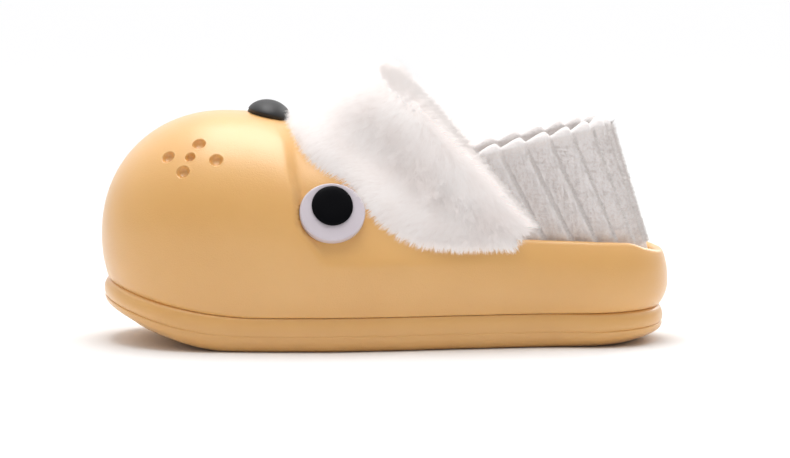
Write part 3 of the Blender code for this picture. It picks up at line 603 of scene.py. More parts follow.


# Colours of the looks: dark and light, with the root's first where blades have one; the root colour is
# painted shade at the foot of the blades
FOAM_DARK = (0.775, 0.415, 0.122)
FOAM_LIGHT = (0.810, 0.447, 0.138)
FOOTBED_COLOURS = ((0.78, 0.73, 0.71), (0.86, 0.82, 0.80))
RIB_COLOURS = ((0.84, 0.78, 0.76), (0.90, 0.86, 0.84))
LINING_COLOURS = ((0.74, 0.68, 0.65), (0.86, 0.82, 0.79))
CUFF_COLOURS = ((0.88, 0.82, 0.80), (0.93, 0.89, 0.87))
FUR_COLOURS = ((0.80, 0.70, 0.66), (0.90, 0.83, 0.80), (0.94, 0.90, 0.88))
TURNED_IN_COLOURS = ((0.84, 0.76, 0.73), (0.91, 0.85, 0.83), (0.95, 0.91, 0.89))
PILE_COLOURS = ((0.70, 0.61, 0.57), (0.89, 0.84, 0.81), (0.93, 0.90, 0.88))
EYE_WHITE = (0.66, 0.595, 0.64)
PUPIL_BLACK = (0.003, 0.003, 0.004)
NOSE_BLACK = (0.010, 0.009, 0.010)

# How the looks shine
NO_SHINE = {"Specular IOR Level": 0.0}
FLEECE_SHINE = {"Specular IOR Level": 0.15, "Sheen Weight": 0.4, "Sheen Roughness": 0.6}
NAP_SHINE = {"Specular IOR Level": 0.1, "Sheen Weight": 0.35, "Sheen Roughness": 0.6}
FOAM_SHINE = {
    "Specular IOR Level": 0.7,
    "Coat Weight": 0.6,
    "Coat Roughness": 0.36,
    "Sheen Weight": 0.18,
    "Sheen Roughness": 0.35,
    "Subsurface Weight": 0.08,
    "Subsurface Radius": (1.0, 0.5, 0.2),
    "Subsurface Scale": 0.004,
}


def foam_look():
    look, tree, shader = new_look("foam", FOAM_LIGHT, 0.38, FOAM_SHINE)
    cloudy = noise(tree, 28, 2.0)
    tint(tree, shader, cloudy.outputs["Fac"], FOAM_DARK, FOAM_LIGHT)
    skin = noise(tree, 1500, 3.0, 0.6)
    wavy = noise(tree, 120, 2.0)
    bump(tree, shader, (skin.outputs["Fac"], wavy.outputs["Fac"]), (0.00012, 0.00012))
    return look


def fur_look(name, root, dark, light, scale, glow, back):
    """Pile shaded by the nap's own normal, with painted shade towards the root, a painted glow all over and a
    stronger painted glow on the backs of its blades.
    """
    look, tree, shader = new_look(name, light, 1.0, NO_SHINE)
    patches = noise(tree, scale, 3.0)
    tint(tree, shader, patches.outputs["Fac"], dark, light)
    ramp = shader.inputs["Base Color"].links[0].from_node
    # Painted shade: rise mixes the darker root colour in towards each blade's foot, scaled by the blade's
    # painted light.
    rise = add_node(tree, "ShaderNodeAttribute", attribute_name="rise")
    mix = add_node(tree, "ShaderNodeMix", data_type="RGBA")
    mix.inputs[6].default_value = (*root, 1)
    tree.links.new(rise.outputs["Fac"], mix.inputs[0])
    tree.links.new(ramp.outputs["Color"], mix.inputs[7])
    tree.links.new(mix.outputs[2], shader.inputs["Base Color"])
    # Painted light: the pile glows in its own colour, by glow everywhere and by back more on blades seen from
    # behind.
    tree.links.new(mix.outputs[2], shader.inputs["Emission Color"])
    side = add_node(tree, "ShaderNodeNewGeometry")
    backside_glow = add_node(tree, "ShaderNodeMath", operation="MULTIPLY_ADD")
    backside_glow.inputs[1].default_value, backside_glow.inputs[2].default_value = back, glow
    tree.links.new(side.outputs["Backfacing"], backside_glow.inputs[0])
    tree.links.new(backside_glow.outputs[0], shader.inputs["Emission Strength"])
    nap = add_node(tree, "ShaderNodeAttribute", attribute_name="nap")
    tree.links.new(nap.outputs["Vector"], shader.inputs["Normal"])
    return look


def fleece_look(name, dark, light):
    look, tree, shader = new_look(name, light, 0.95, FLEECE_SHINE)
    curls = noise(tree, 420, 4.0, 0.65)
    tint(tree, shader, curls.outputs["Fac"], dark, light, 0.25, 0.75)
    tufts = add_node(tree, "ShaderNodeTexVoronoi", Scale=520.0)
    place = add_node(tree, "ShaderNodeTexCoord")
    tree.links.new(place.outputs["Object"], tufts.inputs["Vector"])
    bump(tree, shader, (tufts.outputs["Distance"], curls.outputs["Fac"]), (0.0006, 0.0009))
    return look


def nap_look(name, dark, light):
    look, tree, shader = new_look(name, light, 0.95, NAP_SHINE)
    curls = noise(tree, 900, 3.0, 0.6)
    tint(tree, shader, curls.outputs["Fac"], dark, light, 0.25, 0.75)
    bump(tree, shader, (curls.outputs["Fac"],), (0.0003,))
    return look


def hard_look(name, colour, roughness, shine):
    look, tree, shader = new_look(name, colour, roughness, {"Specular IOR Level": shine})
    mottled = noise(tree, 60, 2.0)
    tint(tree, shader, mottled.outputs["Fac"], tuple(0.94 * c for c in colour), colour)
    scuffs = noise(tree, 700, 2.0)
    bump(tree, shader, (scuffs.outputs["Fac"],), (0.00002,))
    return look


# Foam shell and sole

def make_shell(look):
    rows = upper_rows(SHELL_AROUND, SHELL_ROWS)
    inner = inside_of(rows[::3], WALL)
    inner[0, :, 2] = feather_height(inner[0, :, 0]) + GAP / 2
    way = np.roll(rows[-1], -1, axis=0) - np.roll(rows[-1], 1, axis=0)
    crest = unit(np.cross(outward(rows[-1]), way)) * WALL / 2
    middle = (rows[-1] + inner[-1]) / 2
    half = (rows[-1] - inner[-1]) / 2
    rim = [middle + half * np.cos(a) + crest * np.sin(a) for a in np.linspace(0, np.pi, 11)[1:-1]]
    loops = np.array([*rows, *rim, *inner[::-1]])
    made = build("foam_upper", loops.reshape(-1, 3), ring_quads(len(loops), SHELL_AROUND), look=look)
    press_dimples(made)
    return dress(face_out(made), "foam", "upper")


def dimple_spots():
    """Centre, outward direction and width of each dimple."""
    for forward, up, small in DIMPLES:
        x = np.array([-forward * LENGTH])
        z = np.array([up * DOME_HEIGHT])
        for sign in (-1, 1):
            place = np.stack([x, side_at(x, z, sign), z], axis=-1)
            yield place[0], outward(place)[0], DIMPLE_SMALL if small else DIMPLE_WIDTH


def press_dimples(made):
    """Refines the shell round each dimple and presses a round pit with a soft rim into it."""
    work = bmesh.new()
    work.from_mesh(made.data)
    spots = list(dimple_spots())
    tree = kdtree.KDTree(len(spots))
    for i, (centre, _, _) in enumerate(spots):
        tree.insert(centre, i)
    tree.balance()
    for reach, cuts in ((0.0062, 2), (0.0052, 2)):
        near = [f for f in work.faces if tree.find(f.calc_center_median())[2] < reach]
        edges = {e for f in near for e in f.edges}
        bmesh.ops.subdivide_edges(work, edges=list(edges), cuts=cuts, use_grid_fill=True)
    chosen = [v for v in work.verts if tree.find(v.co)[2] < 0.0075]
    points = np.array([v.co[:] for v in chosen])
    skin = np.abs(last_value(points) - 1) < 0.02
    surface = on_last(points - FIRST_AXIS)
    normals = outward(surface, STEP_WIDTH)
    for v, on_skin, place, normal in zip(chosen, skin, surface, normals):
        if not on_skin:
            continue
        _, which, _ = tree.find(v.co)
        centre, _, width = spots[which]
        share = np.linalg.norm(place - centre) / (width / 2)
        pit = max(0.0, 1 - share**3) ** 0.7
        brow = 0.025 * np.exp(-(((share - 1.10) / 0.12) ** 2))
        v.co = Vector(place - normal * DIMPLE_DEPTH * (pit - brow))
    work.to_mesh(made.data)
    work.free()


def cross_grid(loop, height, across, first):
    """Points and quads that fill a loop with strips from its outer side to its inner side."""
    count = len(loop)
    half = count // 2
    j = np.arange(1, half)
    left, right = loop[j], loop[count - j]
    share = np.arange(1, across) / across
    points = left[:, None] + (right - left)[:, None] * share[None, :, None]
    points[..., 2] = height(points[..., 0])
    index = np.empty((half - 1, across + 1), int)
    index[:, 0] = first + j
    index[:, -1] = first + count - j
    index[:, 1:-1] = np.arange(points[..., 0].size).reshape(half - 1, across - 1) + NEW_POINT
    quads = np.stack([index[:-1, :-1], index[1:, :-1], index[1:, 1:], index[:-1, 1:]], axis=-1).reshape(-1, 4)
    tris = []
    for c in range(across):
        tris.append((first, index[0, c], index[0, c + 1]))
        tris.append((first + half, index[-1, c + 1], index[-1, c]))
    return points.reshape(-1, 3), quads, np.array(tris)


NEW_POINT = 10**8


def filled_stack(name, loops, top_height, bottom_height, across, look):
    """A closed piece from a stack of loops, filled across at both ends."""
    size = len(loops[0])
    points = np.concatenate(loops)
    quads = [ring_quads(len(loops), size, closed=False)]
    tris = []
    for which, height in ((0, top_height), (len(loops) - 1, bottom_height)):
        more, fill, ends = cross_grid(loops[which], height, across, which * size)
        for part in (fill, ends):
            part[part >= NEW_POINT] += len(points) - NEW_POINT
        points = np.concatenate([points, more])
        quads.append(fill)
        tris.append(ends)
    return face_out(build(name, points, np.concatenate(quads), np.concatenate(tris), look))


def plan_normals(loop):
    """Horizontal outward directions of a loop that runs by -Y from the toe to the heel."""
    way = np.roll(loop, -1, axis=0) - np.roll(loop, 1, axis=0)
    out = unit(np.stack([-way[:, 1], way[:, 0], np.zeros(len(loop))], axis=-1))
    return out * np.sign(((loop - loop.mean(axis=0)) * out).sum(axis=-1).sum())


def arch_height(x):
    lift = ease((x + 0.02 * LENGTH) / (0.08 * LENGTH)) * ease((0.27 * LENGTH - x) / (0.08 * LENGTH))
    return floor_height(x) + ARCH_RELIEF * lift


def make_sole(look):
    foot = feather_loop(SHELL_AROUND)
    out = plan_normals(foot)
    x = foot[:, 0]
    top = feather_height(x) - GAP / 2
    band = top - floor_height(x)
    ends = ease((np.abs(x) - 0.24 * LENGTH) / (0.24 * LENGTH))
    roll = ROLL_MIDDLE + (ROLL_ENDS - ROLL_MIDDLE) * ends
    step = np.linspace(0, len(SOLE_SIDE) - 1, SOLE_LEVELS)
    table = [(i, *row) for i, row in enumerate(SOLE_SIDE)]
    drop, reach, inward = (smooth_curve(table, c, step) for c in (1, 2, 3))
    loops = []
    for d, r, w in zip(drop, reach, inward):
        loop = foot + out * (r * LIP * (0.45 + 0.55 * ends) - w * roll)[:, None]
        loop[:, 2] = top - d * band
        loops.append(loop)
    made = filled_stack("foam_sole", loops, lambda x: feather_height(x) - GAP / 2, arch_height, 24, look)
    cut(made, tread_bars())
    return dress(made, "foam", "sole")


def tread_bars():
    work = bmesh.new()
    for first, last in ((-0.27 * LENGTH, 0.02 * LENGTH), (0.29 * LENGTH, 0.40 * LENGTH)):
        for i in range(int((last - first) / TREAD_PITCH) + 1):
            x = np.array([first + i * TREAD_PITCH])
            foot = feather_height(x)
            low = side_at(x, foot, -1)[0] + TREAD_MARGIN
            high = side_at(x, foot, 1)[0] - TREAD_MARGIN
            bar = bmesh.ops.create_cube(work, size=1)
            bmesh.ops.scale(work, verts=bar["verts"], vec=(TREAD_WIDTH, high - low, 2 * TREAD_DEPTH))
            bmesh.ops.translate(work, verts=bar["verts"], vec=(x[0], (low + high) / 2, 0))
    mesh = bpy.data.meshes.new("tread_bars")
    work.to_mesh(mesh)
    work.free()
    made = bpy.data.objects.new("tread_bars", mesh)
    bpy.context.scene.collection.objects.link(made)
    return made


def cut(target, cutter):
    """Takes the cutter out of the target for good."""
    modifier = target.modifiers.new("cut", "BOOLEAN")
    modifier.operation = "DIFFERENCE"
    modifier.solver = "EXACT"
    modifier.object = cutter
    graph = bpy.context.evaluated_depsgraph_get()
    mesh = bpy.data.meshes.new_from_object(target.evaluated_get(graph))
    target.modifiers.clear()
    target.data = mesh
    mesh.set_sharp_from_angle(angle=0.8)
    bpy.data.objects.remove(cutter)


def make_footbed(look):
    foot = feather_loop(SHELL_AROUND)
    out = plan_normals(foot)
    inset = 1.12 * WALL + SOFT_GAP
    loops = []
    for thick, cup, more in FOOTBED_SIDE:
        loop = foot - out * (inset + more)
        rise = thick * INSOLE_THICKNESS + cup * INSOLE_CUP
        loop[:, 2] = feather_height(loop[:, 0]) + GAP / 2 + rise
        loops.append(loop)
    made = filled_stack("footbed", loops, lambda x: feather_height(x) + GAP / 2 + INSOLE_THICKNESS - 0.0004,
                        lambda x: feather_height(x) + GAP / 2, 40, look)
    return dress(made, "plush", "insole")


# Plush heel collar

COLLAR_LOW = SOLE_HEIGHT + HEEL_LIFT + INSOLE_THICKNESS + INSOLE_CUP + SOFT_GAP
COLLAR_FRONT = x_of(0.742)
COLLAR_TOP_FRONT = x_of(0.655)
COLLAR_TOP_BACK = LENGTH / 2 - WALL - 0.006 - COLLAR_LEAN
COLLAR_MIDDLE = np.array([0.085, SIDE_SHIFT, 0.06])


def inward_of(line):
    """Horizontal directions to the inside of a line that runs round the heel."""
    way = unit(np.gradient(line, axis=0))
    return unit(np.stack([-way[:, 1], way[:, 0], np.zeros(len(line))], axis=-1))


def rim_path(height, inset, count):
    """Points round the heel inside the last, from the outer front end by the back to the inner front end."""
    back = end_of(lambda x: height + 0 * x, 1)
    turn = np.sin(np.linspace(0, np.pi / 2, 300))
    x = COLLAR_FRONT + (back - COLLAR_FRONT) * turn
    sides = []
    for sign in (-1, 1):
        y = side_at(x, height + 0 * x, sign)
        y[-1] = last_rows(x[-1:])["middle"][0]
        line = np.stack([x, y, height + 0 * x], axis=-1)
        sides.append(along(line, np.linspace(0, 1, count // 2 + 1)))
    path = np.concatenate([sides[0], sides[1][-2::-1]])
    return path + inward_of(path) * inset


def top_path(count):
    """The collar's top edge, a narrower loop leaning forward, lower towards its front ends."""
    half = COLLAR_TOP_WIDTH / 2
    turn = np.linspace(0, np.pi / 2, 120)
    straight = np.linspace(COLLAR_TOP_FRONT, COLLAR_TOP_BACK - half, 60)[:-1]
    x = np.concatenate([straight, COLLAR_TOP_BACK - half + half * np.sin(turn)])
    y = np.concatenate([np.full(len(straight), half), half * np.cos(turn)])
    away = (COLLAR_TOP_BACK - x) / (COLLAR_TOP_BACK - COLLAR_TOP_FRONT)
    z = COLLAR_HEIGHT - COLLAR_FRONT_DROP * away**1.2
    shares = np.linspace(0, 1, count // 2 + 1)
    outer = along(np.stack([x, SIDE_SHIFT - y, z], axis=-1), shares)
    inner = along(np.stack([x, SIDE_SHIFT + y, z], axis=-1), shares)
    return np.concatenate([outer, inner[-2::-1]])


def collar_ribs():
    path = rim_path(RIM_HEIGHT, WALL, 60)
    length = np.linalg.norm(np.diff(path, axis=0), axis=1).sum()
    return 2 * round(length / RIB_PITCH / 2)


def collar_faces(steps, levels):
    """The collar's ribbed outer face and its inner face with the same ribs lightly raised, level by place."""
    count = collar_ribs() * steps
    phase = (np.arange(count + 1) / steps) % 1
    side = np.where(np.arange(count + 1) < count / 2, phase, (1 - phase) % 1)
    crest = ease(side / RIB_CREST) ** 0.75 * (1 - ease((side - RIB_CREST) / (1 - RIB_CREST))) ** 0.6
    low = rim_path(COLLAR_LOW, WALL + SOFT_GAP, count)
    rim = rim_path(RIM_HEIGHT, WALL + SOFT_GAP, count)
    top = top_path(count)
    outer, inner = [], []
    for level in levels:
        if level < 0.3:
            line = low + (rim - low) * (level / 0.3)
        else:
            line = rim + (top - rim) * ((level - 0.3) / 0.7)
        inward = inward_of(line)
        outer.append(line + inward * (RIB_RELIEF * (1 - crest))[:, None])
        inner.append(line + inward * (COLLAR_WALL + RIB_RELIEF - 0.0009 * (1 - crest))[:, None])
    return np.array(outer), np.array(inner), crest


def make_collar(look):
    outer, inner, crest = collar_faces(RIB_FINE, np.linspace(0, COLLAR_TOP_LEVEL, 44))
    middle = (outer[-1] + inner[-1]) / 2
    half = (outer[-1] - inner[-1]) / 2
    rise = (0.0016 + 0.0026 * crest)[:, None] * np.array([-0.14, 0, 1.0])
    hem = [middle + half * np.cos(a) + rise * np.sin(a) for a in np.linspace(0, np.pi, 9)[1:-1]]
    made = swept("ribbed_collar", np.array([*outer, *hem, *inner[::-1]]), look)
    return dress(made, "plush", "heel_collar")


# Fur cuff

def cuff_lines(count):
    """Hem and fold of the cuff, from its outer end over the instep to its inner end."""
    q = np.linspace(-1, 1, count)
    side = np.sign(q) * BALL_WIDTH / 2
    row = {name: smooth_curve(CUFF, 1 + i, np.abs(q)) for i, name in enumerate(CUFF_COLUMNS)}
    lines = []
    for name in ("hem", "fold"):
        x = x_of(row[name + "_place"])
        y = SIDE_SHIFT + side * row[name + "_spread"]
        lines.append(np.stack([x, y, row[name + "_height"] * CUFF_HEIGHT], axis=-1))
    return q, on_last(lines[0] - FIRST_AXIS), lines[1]


def stations_of(q, front, back, height):
    """Points of a line round the last, one for each station of the cuff."""
    out = np.zeros((len(q), 3))
    for sign in (-1, 1):
        line = half_loop(front, back, height, sign, np.linspace(0, 1, 400))
        run = line[: np.searchsorted(line[:, 0], CUFF_END_X)]
        here = (q < 0) if sign < 0 else (q >= 0)
        out[here] = along(run, np.abs(q[here]))
    return out


def edge_under(q):
    return stations_of(q, THROAT_X, end_of(edge_height, 1), edge_height)


def end_share(q):
    """0 at the cuff's two ends, 1 from a little way in."""
    return ease((1 - np.abs(q)) / 0.16)[:, None]


def tuck_depth(q):
    """How far the cuff reaches down inside the foam."""
    return CUFF_TUCK * (0.35 + 0.65 * end_share(q))


def cuff_loops(count):
    """Loops of the cuff's section, each an array by station."""
    q, hem, fold = cuff_lines(count)
    edge = edge_under(q)
    crown = 1 + CUFF_CROWN * (1 - ease(np.abs(q) / 0.4))[:, None]
    fill = 0.74 + 0.22 * (1 - ease(np.abs(q) / 0.55))[:, None]
    depth = fill * CUFF_DEPTH * (0.55 + 0.45 * end_share(q)) * crown
    normal_edge = outward(edge)
    under = []
    for share in (0.0, 0.33, 0.67, 1.0):
        base = on_last(between(hem - FIRST_AXIS, edge - FIRST_AXIS, share))
        under.append(base + outward(base) * CUFF_GAP)
    rim_in = inside_of(edge, WALL)
    crest = unit(np.cross(np.gradient(edge, axis=0), normal_edge))
    rim_middle = (edge + rim_in) / 2
    rim_round = WALL / 2 + TUCK_GAP
    rim_out = unit(edge - rim_in)
    turns = [rim_out * np.cos(a) + crest * np.sin(a) for a in (2.6, 1.94, 1.2, 0.54)]
    rim_arc = [rim_middle + turn * rim_round for turn in turns]
    inner_edge = rim_in - normal_edge * TUCK_GAP
    tuck_outer = on_last(edge + unit(under[1] - edge) * tuck_depth(q) - FIRST_AXIS)
    tuck_in = inside_of(tuck_outer, WALL)
    tuck_wall = tuck_in - outward(tuck_outer) * TUCK_GAP
    tuck_free = tuck_in - outward(tuck_outer) * (TUCK_GAP + CUFF_LINING)
    free_edge = inner_edge - normal_edge * CUFF_LINING
    stand = unit(fold - (edge + rim_in) / 2)
    across = unit(normal_edge - stand * (normal_edge * stand).sum(-1, keepdims=True))
    inner_mid = (free_edge + (fold - across * depth * 0.45)) / 2
    fold_in = fold - across * depth * 0.45
    fold_top = fold + stand * depth * 0.42
    fold_out = fold + across * depth * 0.55
    outer = []
    ways = [unit(between(hem - FIRST_AXIS, edge - FIRST_AXIS, share)) for share in (0, 0.25, 0.5, 0.75, 1)]
    start = np.broadcast_to(FIRST_AXIS, hem.shape)
    reach = [crossing(start, way, LENGTH, lambda p: last_value(p, 0, 0.03)) for way in ways]
    base = [start + way * far[:, None] + normal_edge * CUFF_GAP for way, far in zip(ways, reach)]
    path = np.array([*base, fold]).transpose(1, 0, 2)
    over_foam = np.linalg.norm(path[:, 0] - path[:, 4], axis=1)
    over_foam = (over_foam / (over_foam + np.linalg.norm(path[:, 5] - path[:, 4], axis=1)))[:, None]
    for share in (0.0, 0.14, 0.30, 0.48, 0.66, 0.84):
        ground = np.array([along(line, np.array([share]))[0] for line in path])
        upward = np.clip((share - over_foam) / (1 - over_foam), 0, None)
        push = unit(outward(hem) * (1 - share) + across * share)
        outer.append(ground + push * depth * smooth_curve(CUFF_LOFT, 1, share) * (1 - 0.45 * upward))
    turned_in = (fold_out, fold_top, fold_in, inner_mid, free_edge, tuck_free, tuck_wall, inner_edge)
    return np.array([*outer, *turned_in, *rim_arc, *under[::-1]])


# The cuff's section in parts: from one of its loops to another, in so many columns. The fold and the lining's
# foot are at these columns.
SECTION_PARTS = ((0, 2, 6), (2, 9, 34), (9, 12, 20), (12, 22, 26))
FOLD_COLUMN = 6 + 34
LINING_COLUMN = FOLD_COLUMN + 20


def cuff_surface():
    """Even, softened section loops of the cuff, begun under its hem."""
    loops = np.roll(cuff_loops(CUFF_STATIONS), 2, axis=0)
    loops = np.concatenate([loops, loops[:1]]).transpose(1, 0, 2)
    sections = []
    for section in loops:
        parts = []
        for first, last, count in SECTION_PARTS:
            parts.append(along(section[first:last + 1], np.arange(count) / count))
        sections.append(np.concatenate(parts))
    grid = np.array(sections)
    column = np.arange(grid.shape[1])
    soft = ease((column - 1) / 4) * ease((LINING_COLUMN - 2 - column) / 6)
    for _ in range(14):
        even = (np.roll(grid, 1, axis=1) + np.roll(grid, -1, axis=1)) / 2 - grid
        grid = grid + even * soft[:, None] * 0.5
        ahead = np.concatenate([grid[:1], grid, grid[-1:]])
        grid = grid + ((ahead[2:] + ahead[:-2]) / 2 - grid) * soft[:, None] * 0.4
    return grid, soft_normals(grid, 6)


def make_cuff_body(look, grid):
    made = capped("cuff_body", grid, look)
    return dress(made, "fur", "fur_cuff")


def strands(root, way, tip_way, length, width, shade, facing, light, bent=True):
    """Tapered blades, bent from way to tip_way, with shade as their normal and light scaling how far their
    colour climbs from the painted root shade.
    """
    side = unit(np.cross(way, facing)) * width / 2
    if bent:
        middle = root + way * (length * 0.5)[:, None]
        tip = middle + tip_way * (length * 0.5)[:, None]
        points = np.stack([root - side, root + side, middle + side * 0.8, middle - side * 0.8, tip], axis=1)
        quads, tris, rise = [[0, 1, 2, 3]], [[3, 2, 4]], [0.3, 0.3, 0.8, 0.8, 1]
    else:
        tip = root + (way + tip_way) * (length * 0.5)[:, None]
        points = np.stack([root - side, root + side, tip], axis=1)
        quads, tris, rise = None, [[0, 1, 2]], [0.3, 0.3, 1]
    size = points.shape[1]
    base = np.arange(len(root))[:, None, None] * size
    quads = (base + np.array(quads)).reshape(-1, 4) if bent else np.zeros((0, 4), int)
    tris = (base + np.array(tris)).reshape(-1, 3)
    # Painted shade at the root: the colour factor grows from root to tip, scaled by the blade's light.
    rise = (light[:, None] * np.array(rise)).ravel()
    return points.reshape(-1, 3), quads, tris, np.repeat(shade, size, axis=0), rise


def grid_samples(grid, columns, count, weight=None, lean=None):
    """Random places on columns of a grid: position, normal, direction along the columns, both grid shares."""
    stations = grid.shape[0]
    first, last = columns
    part = grid[:, first:last + 1]
    a, b, c, d = part[:-1, :-1], part[1:, :-1], part[1:, 1:], part[:-1, 1:]
    area = np.linalg.norm(np.cross(c - a, d - b), axis=-1)
    s_share = (np.arange(stations - 1) + 0.5) / (stations - 1)
    k_share = (np.arange(last - first) + 0.5) / (last - first)
    if weight is not None:
        area = area * weight(s_share[:, None], k_share[None, :])
    odds = (area / area.sum()).ravel()
    pick = DICE.choice(len(odds), size=count, p=odds)
    s, k = np.unravel_index(pick, area.shape)
    u, v = DICE.random(count)[:, None], DICE.random(count)[:, None]
    place = (a[s, k] * (1 - u) + b[s, k] * u) * (1 - v) + (d[s, k] * (1 - u) + c[s, k] * u) * v
    if lean is None:
        normal = unit(np.cross(c[s, k] - a[s, k], d[s, k] - b[s, k]))
        away = place - grid.mean(axis=1)[s]
        normal = normal * np.sign((normal * away).sum())
    else:
        i = first + k
        normal = unit((lean[s, i] * (1 - u) + lean[s + 1, i] * u) * (1 - v)
                      + (lean[s, i + 1] * (1 - u) + lean[s + 1, i + 1] * u) * v)
    up = unit((d[s, k] + c[s, k]) - (a[s, k] + b[s, k]))
    return place, normal, up, (s + u[:, 0]) / (stations - 1), (k + v[:, 0]) / (last - first)


def soft_normals(grid, turns):
    """Outward directions of a closed section's grid, evened out so that pile turns softly round its edges."""
    along_s = np.gradient(grid, axis=0)
    along_k = np.roll(grid, -1, axis=1) - np.roll(grid, 1, axis=1)
    normal = unit(np.cross(along_s, along_k))
    away = grid - grid.mean(axis=1, keepdims=True)
    normal = normal * np.sign((normal * away).sum())
    for _ in range(turns):
        normal = normal + np.roll(normal, 1, axis=1) + np.roll(normal, -1, axis=1)
        padded = np.concatenate([normal[:1], normal, normal[-1:]])
        normal = unit(normal + padded[2:] + padded[:-2])
    return normal


def add_strands(name, parts, look, slot):
    """One piece from groups of blades, with the soft normal, and the place up each blade scaled by its
    painted light and shade, kept for the look.
    """
    points, quads, tris, shade, rise = [], [], [], [], []
    total = 0
    for p, q, t, n, r in parts:
        points.append(p)
        quads.append(q + total)
        tris.append(t + total)
        shade.append(n)
        rise.append(r)
        total += len(p)
    shade = np.concatenate(shade)
    made = build(name, np.concatenate(points), np.concatenate(quads), np.concatenate(tris), look, shade)
    nap = made.data.attributes.new("nap", "FLOAT_VECTOR", "POINT")
    nap.data.foreach_set("vector", shade.astype(np.float32).ravel())
    # rise: each blade's light times its place up the blade, mixing in the root colour's painted shade and the
    # blade's painted light.
    height = made.data.attributes.new("rise", "FLOAT", "POINT")
    height.data.foreach_set("value", np.concatenate(rise).astype(np.float32))
    made.visible_shadow = False
    made.visible_diffuse = False
    dress(made, slot)


def flow_noise(points, scale, seed):
    """Smooth random vectors over space, a sum of waves."""
    dice = np.random.default_rng(seed)
    out = np.zeros(points.shape)
    for _ in range(7):
        wave = dice.normal(size=(3, 3)) * scale
        out += np.sin(points @ wave + dice.random(3) * 2 * np.pi)
    return out / 7**0.5


def clumped(root, tip, every, pull):
    """Tips drawn towards the tip of the nearest of some chosen strands."""
    chosen = DICE.choice(len(root), size=max(len(root) // every, 1), replace=False)
    tree = kdtree.KDTree(len(chosen))
    for n, i in enumerate(chosen):
        tree.insert(root[i], n)
    tree.balance()
    nearest = chosen[[tree.find(p)[1] for p in root]]
    return tip + (tip[nearest] - tip) * np.asarray(pull)[:, None]


# How many blades each piece of pile has, and how long and wide they are
FUR_COUNT = 45000
NAP_COUNT = 60000
LINING_COUNT = 60000
OUTER_PILE_COUNT = 97500
INNER_PILE_COUNT = 32500
FUR_LENGTH = 0.0064
LINING_LENGTH = 0.0034
PILE_LENGTH = 0.0011
FUR_WIDTH = 0.00024
NAP_WIDTH = 0.00030
LINING_WIDTH = 0.0004
PILE_WIDTH = 0.00032


def make_fur(grid, lean, look, lined):
    """Pile over the outside of the cuff, one piece for each half, and short pile on its lining side."""
    last = FOLD_COLUMN + 7
    halves = {"fur_outer": lambda s, k: (s <= 0.5) * 1.0, "fur_inner": lambda s, k: (s > 0.5) * 1.0}
    for name, half in halves.items():
        parts = []
        for count, bent in ((FUR_COUNT, True), (NAP_COUNT, False)):
            parts.append(comb_fur(*grid_samples(grid, (0, last), count, half, lean), bent))
        add_strands(name, parts, look, "fur")
    columns = (last, LINING_COLUMN + 2)
    place, normal, up, s, k = grid_samples(grid, columns, LINING_COUNT, None, lean)
    swirl = flow_noise(place, 1500.0, 11)
    way = unit(normal + 0.20 * swirl)
    tip_way = unit(normal * 0.8 - up * 0.3 + 0.3 * swirl)
    length = LINING_LENGTH * (0.8 + 0.4 * DICE.random(len(place)))
    light = 0.75 + 0.25 * DICE.random(len(place))
    shade = unit(0.35 * normal + 0.05 * swirl + [0.1, 0, 1.1])
    blades = strands(place, way, tip_way, length, LINING_WIDTH, shade, normal, light, False)
    add_strands("fur_lining", [blades], lined, "fur")


def comb_fur(place, normal, up, s, k, bent):
    """Lays the pile: standing round the fold, combed to the hem and the heel below, tufted in between."""
    down = -up
    heelward = np.array([1.0, 0, 0]) - normal * normal[:, :1]
    swirl = flow_noise(place, 420.0, 3)
    fine = flow_noise(place, 2300.0, 5)
    away = np.abs(2 * s - 1)
    tufted = np.exp(-(((k - 0.50) / 0.13) ** 2)) * ease((away - 0.1) / 0.25)
    hem = ease((0.34 - k) / 0.34)
    top = ease((k - 0.66) / 0.2)
    crown = 1 - ease(away / 0.35)
    face = np.exp(-(((away - 0.46) / 0.14) ** 2))
    rear = ease((away - 0.62) / 0.3)
    end = ease((away - 0.90) / 0.10)
    lie = (0.85 - 0.6 * top - 0.35 * rear * hem + 0.35 * hem * face)[:, None]
    heel = (0.10 + 0.30 * rear + 0.30 * end + 0.45 * top * (1 - crown))[:, None]
    stand = (0.55 + 0.45 * top - 0.30 * hem + 0.20 * crown * (1 - hem))[:, None]
    way = unit(normal * stand + down * lie * 0.7 + heelward * heel
               + swirl * (0.03 + 0.02 * tufted[:, None]) + fine * (0.06 + 0.13 * tufted[:, None]))
    tip_way = unit(normal * stand * 0.6 + down * lie + heelward * heel * 1.3
                   + swirl * (0.04 + 0.04 * tufted[:, None]) + fine * (0.14 + 0.24 * tufted[:, None]))
    length = FUR_LENGTH + 0.0022 * hem * (1 - rear) + 0.0022 * hem * np.maximum(0.5 * crown, face)
    length = length + 0.0010 * tufted + top * (0.0024 - 0.0034 * crown) + 0.0014 * end
    length = length * (0.72 + 0.42 * DICE.random(len(place)))
    middle = place + way * (length * 0.5)[:, None]
    tip = middle + tip_way * (length * 0.5)[:, None]
    tip = clumped(place, tip, 55, 0.06 + 0.42 * tufted + 0.08 * hem)
    reach = np.linalg.norm(tip - middle, axis=1)
    tip_way = unit(tip - middle) * (reach / (length * 0.5))[:, None]
    upturn = 0.3 * top[:, None] * [0, 0, 1]
    shade = unit(normal + 0.30 * tip_way * (0.15 + tufted[:, None]) + 0.05 * fine + upturn)
    # Random tone per blade, with painted shade darkening some blades in the tufted band.
    light = 0.78 + 0.22 * DICE.random(len(place)) - 0.25 * tufted * DICE.random(len(place))
    width = FUR_WIDTH if bent else NAP_WIDTH
    return strands(place, way, tip_way, length, width, shade, normal, light, bent)


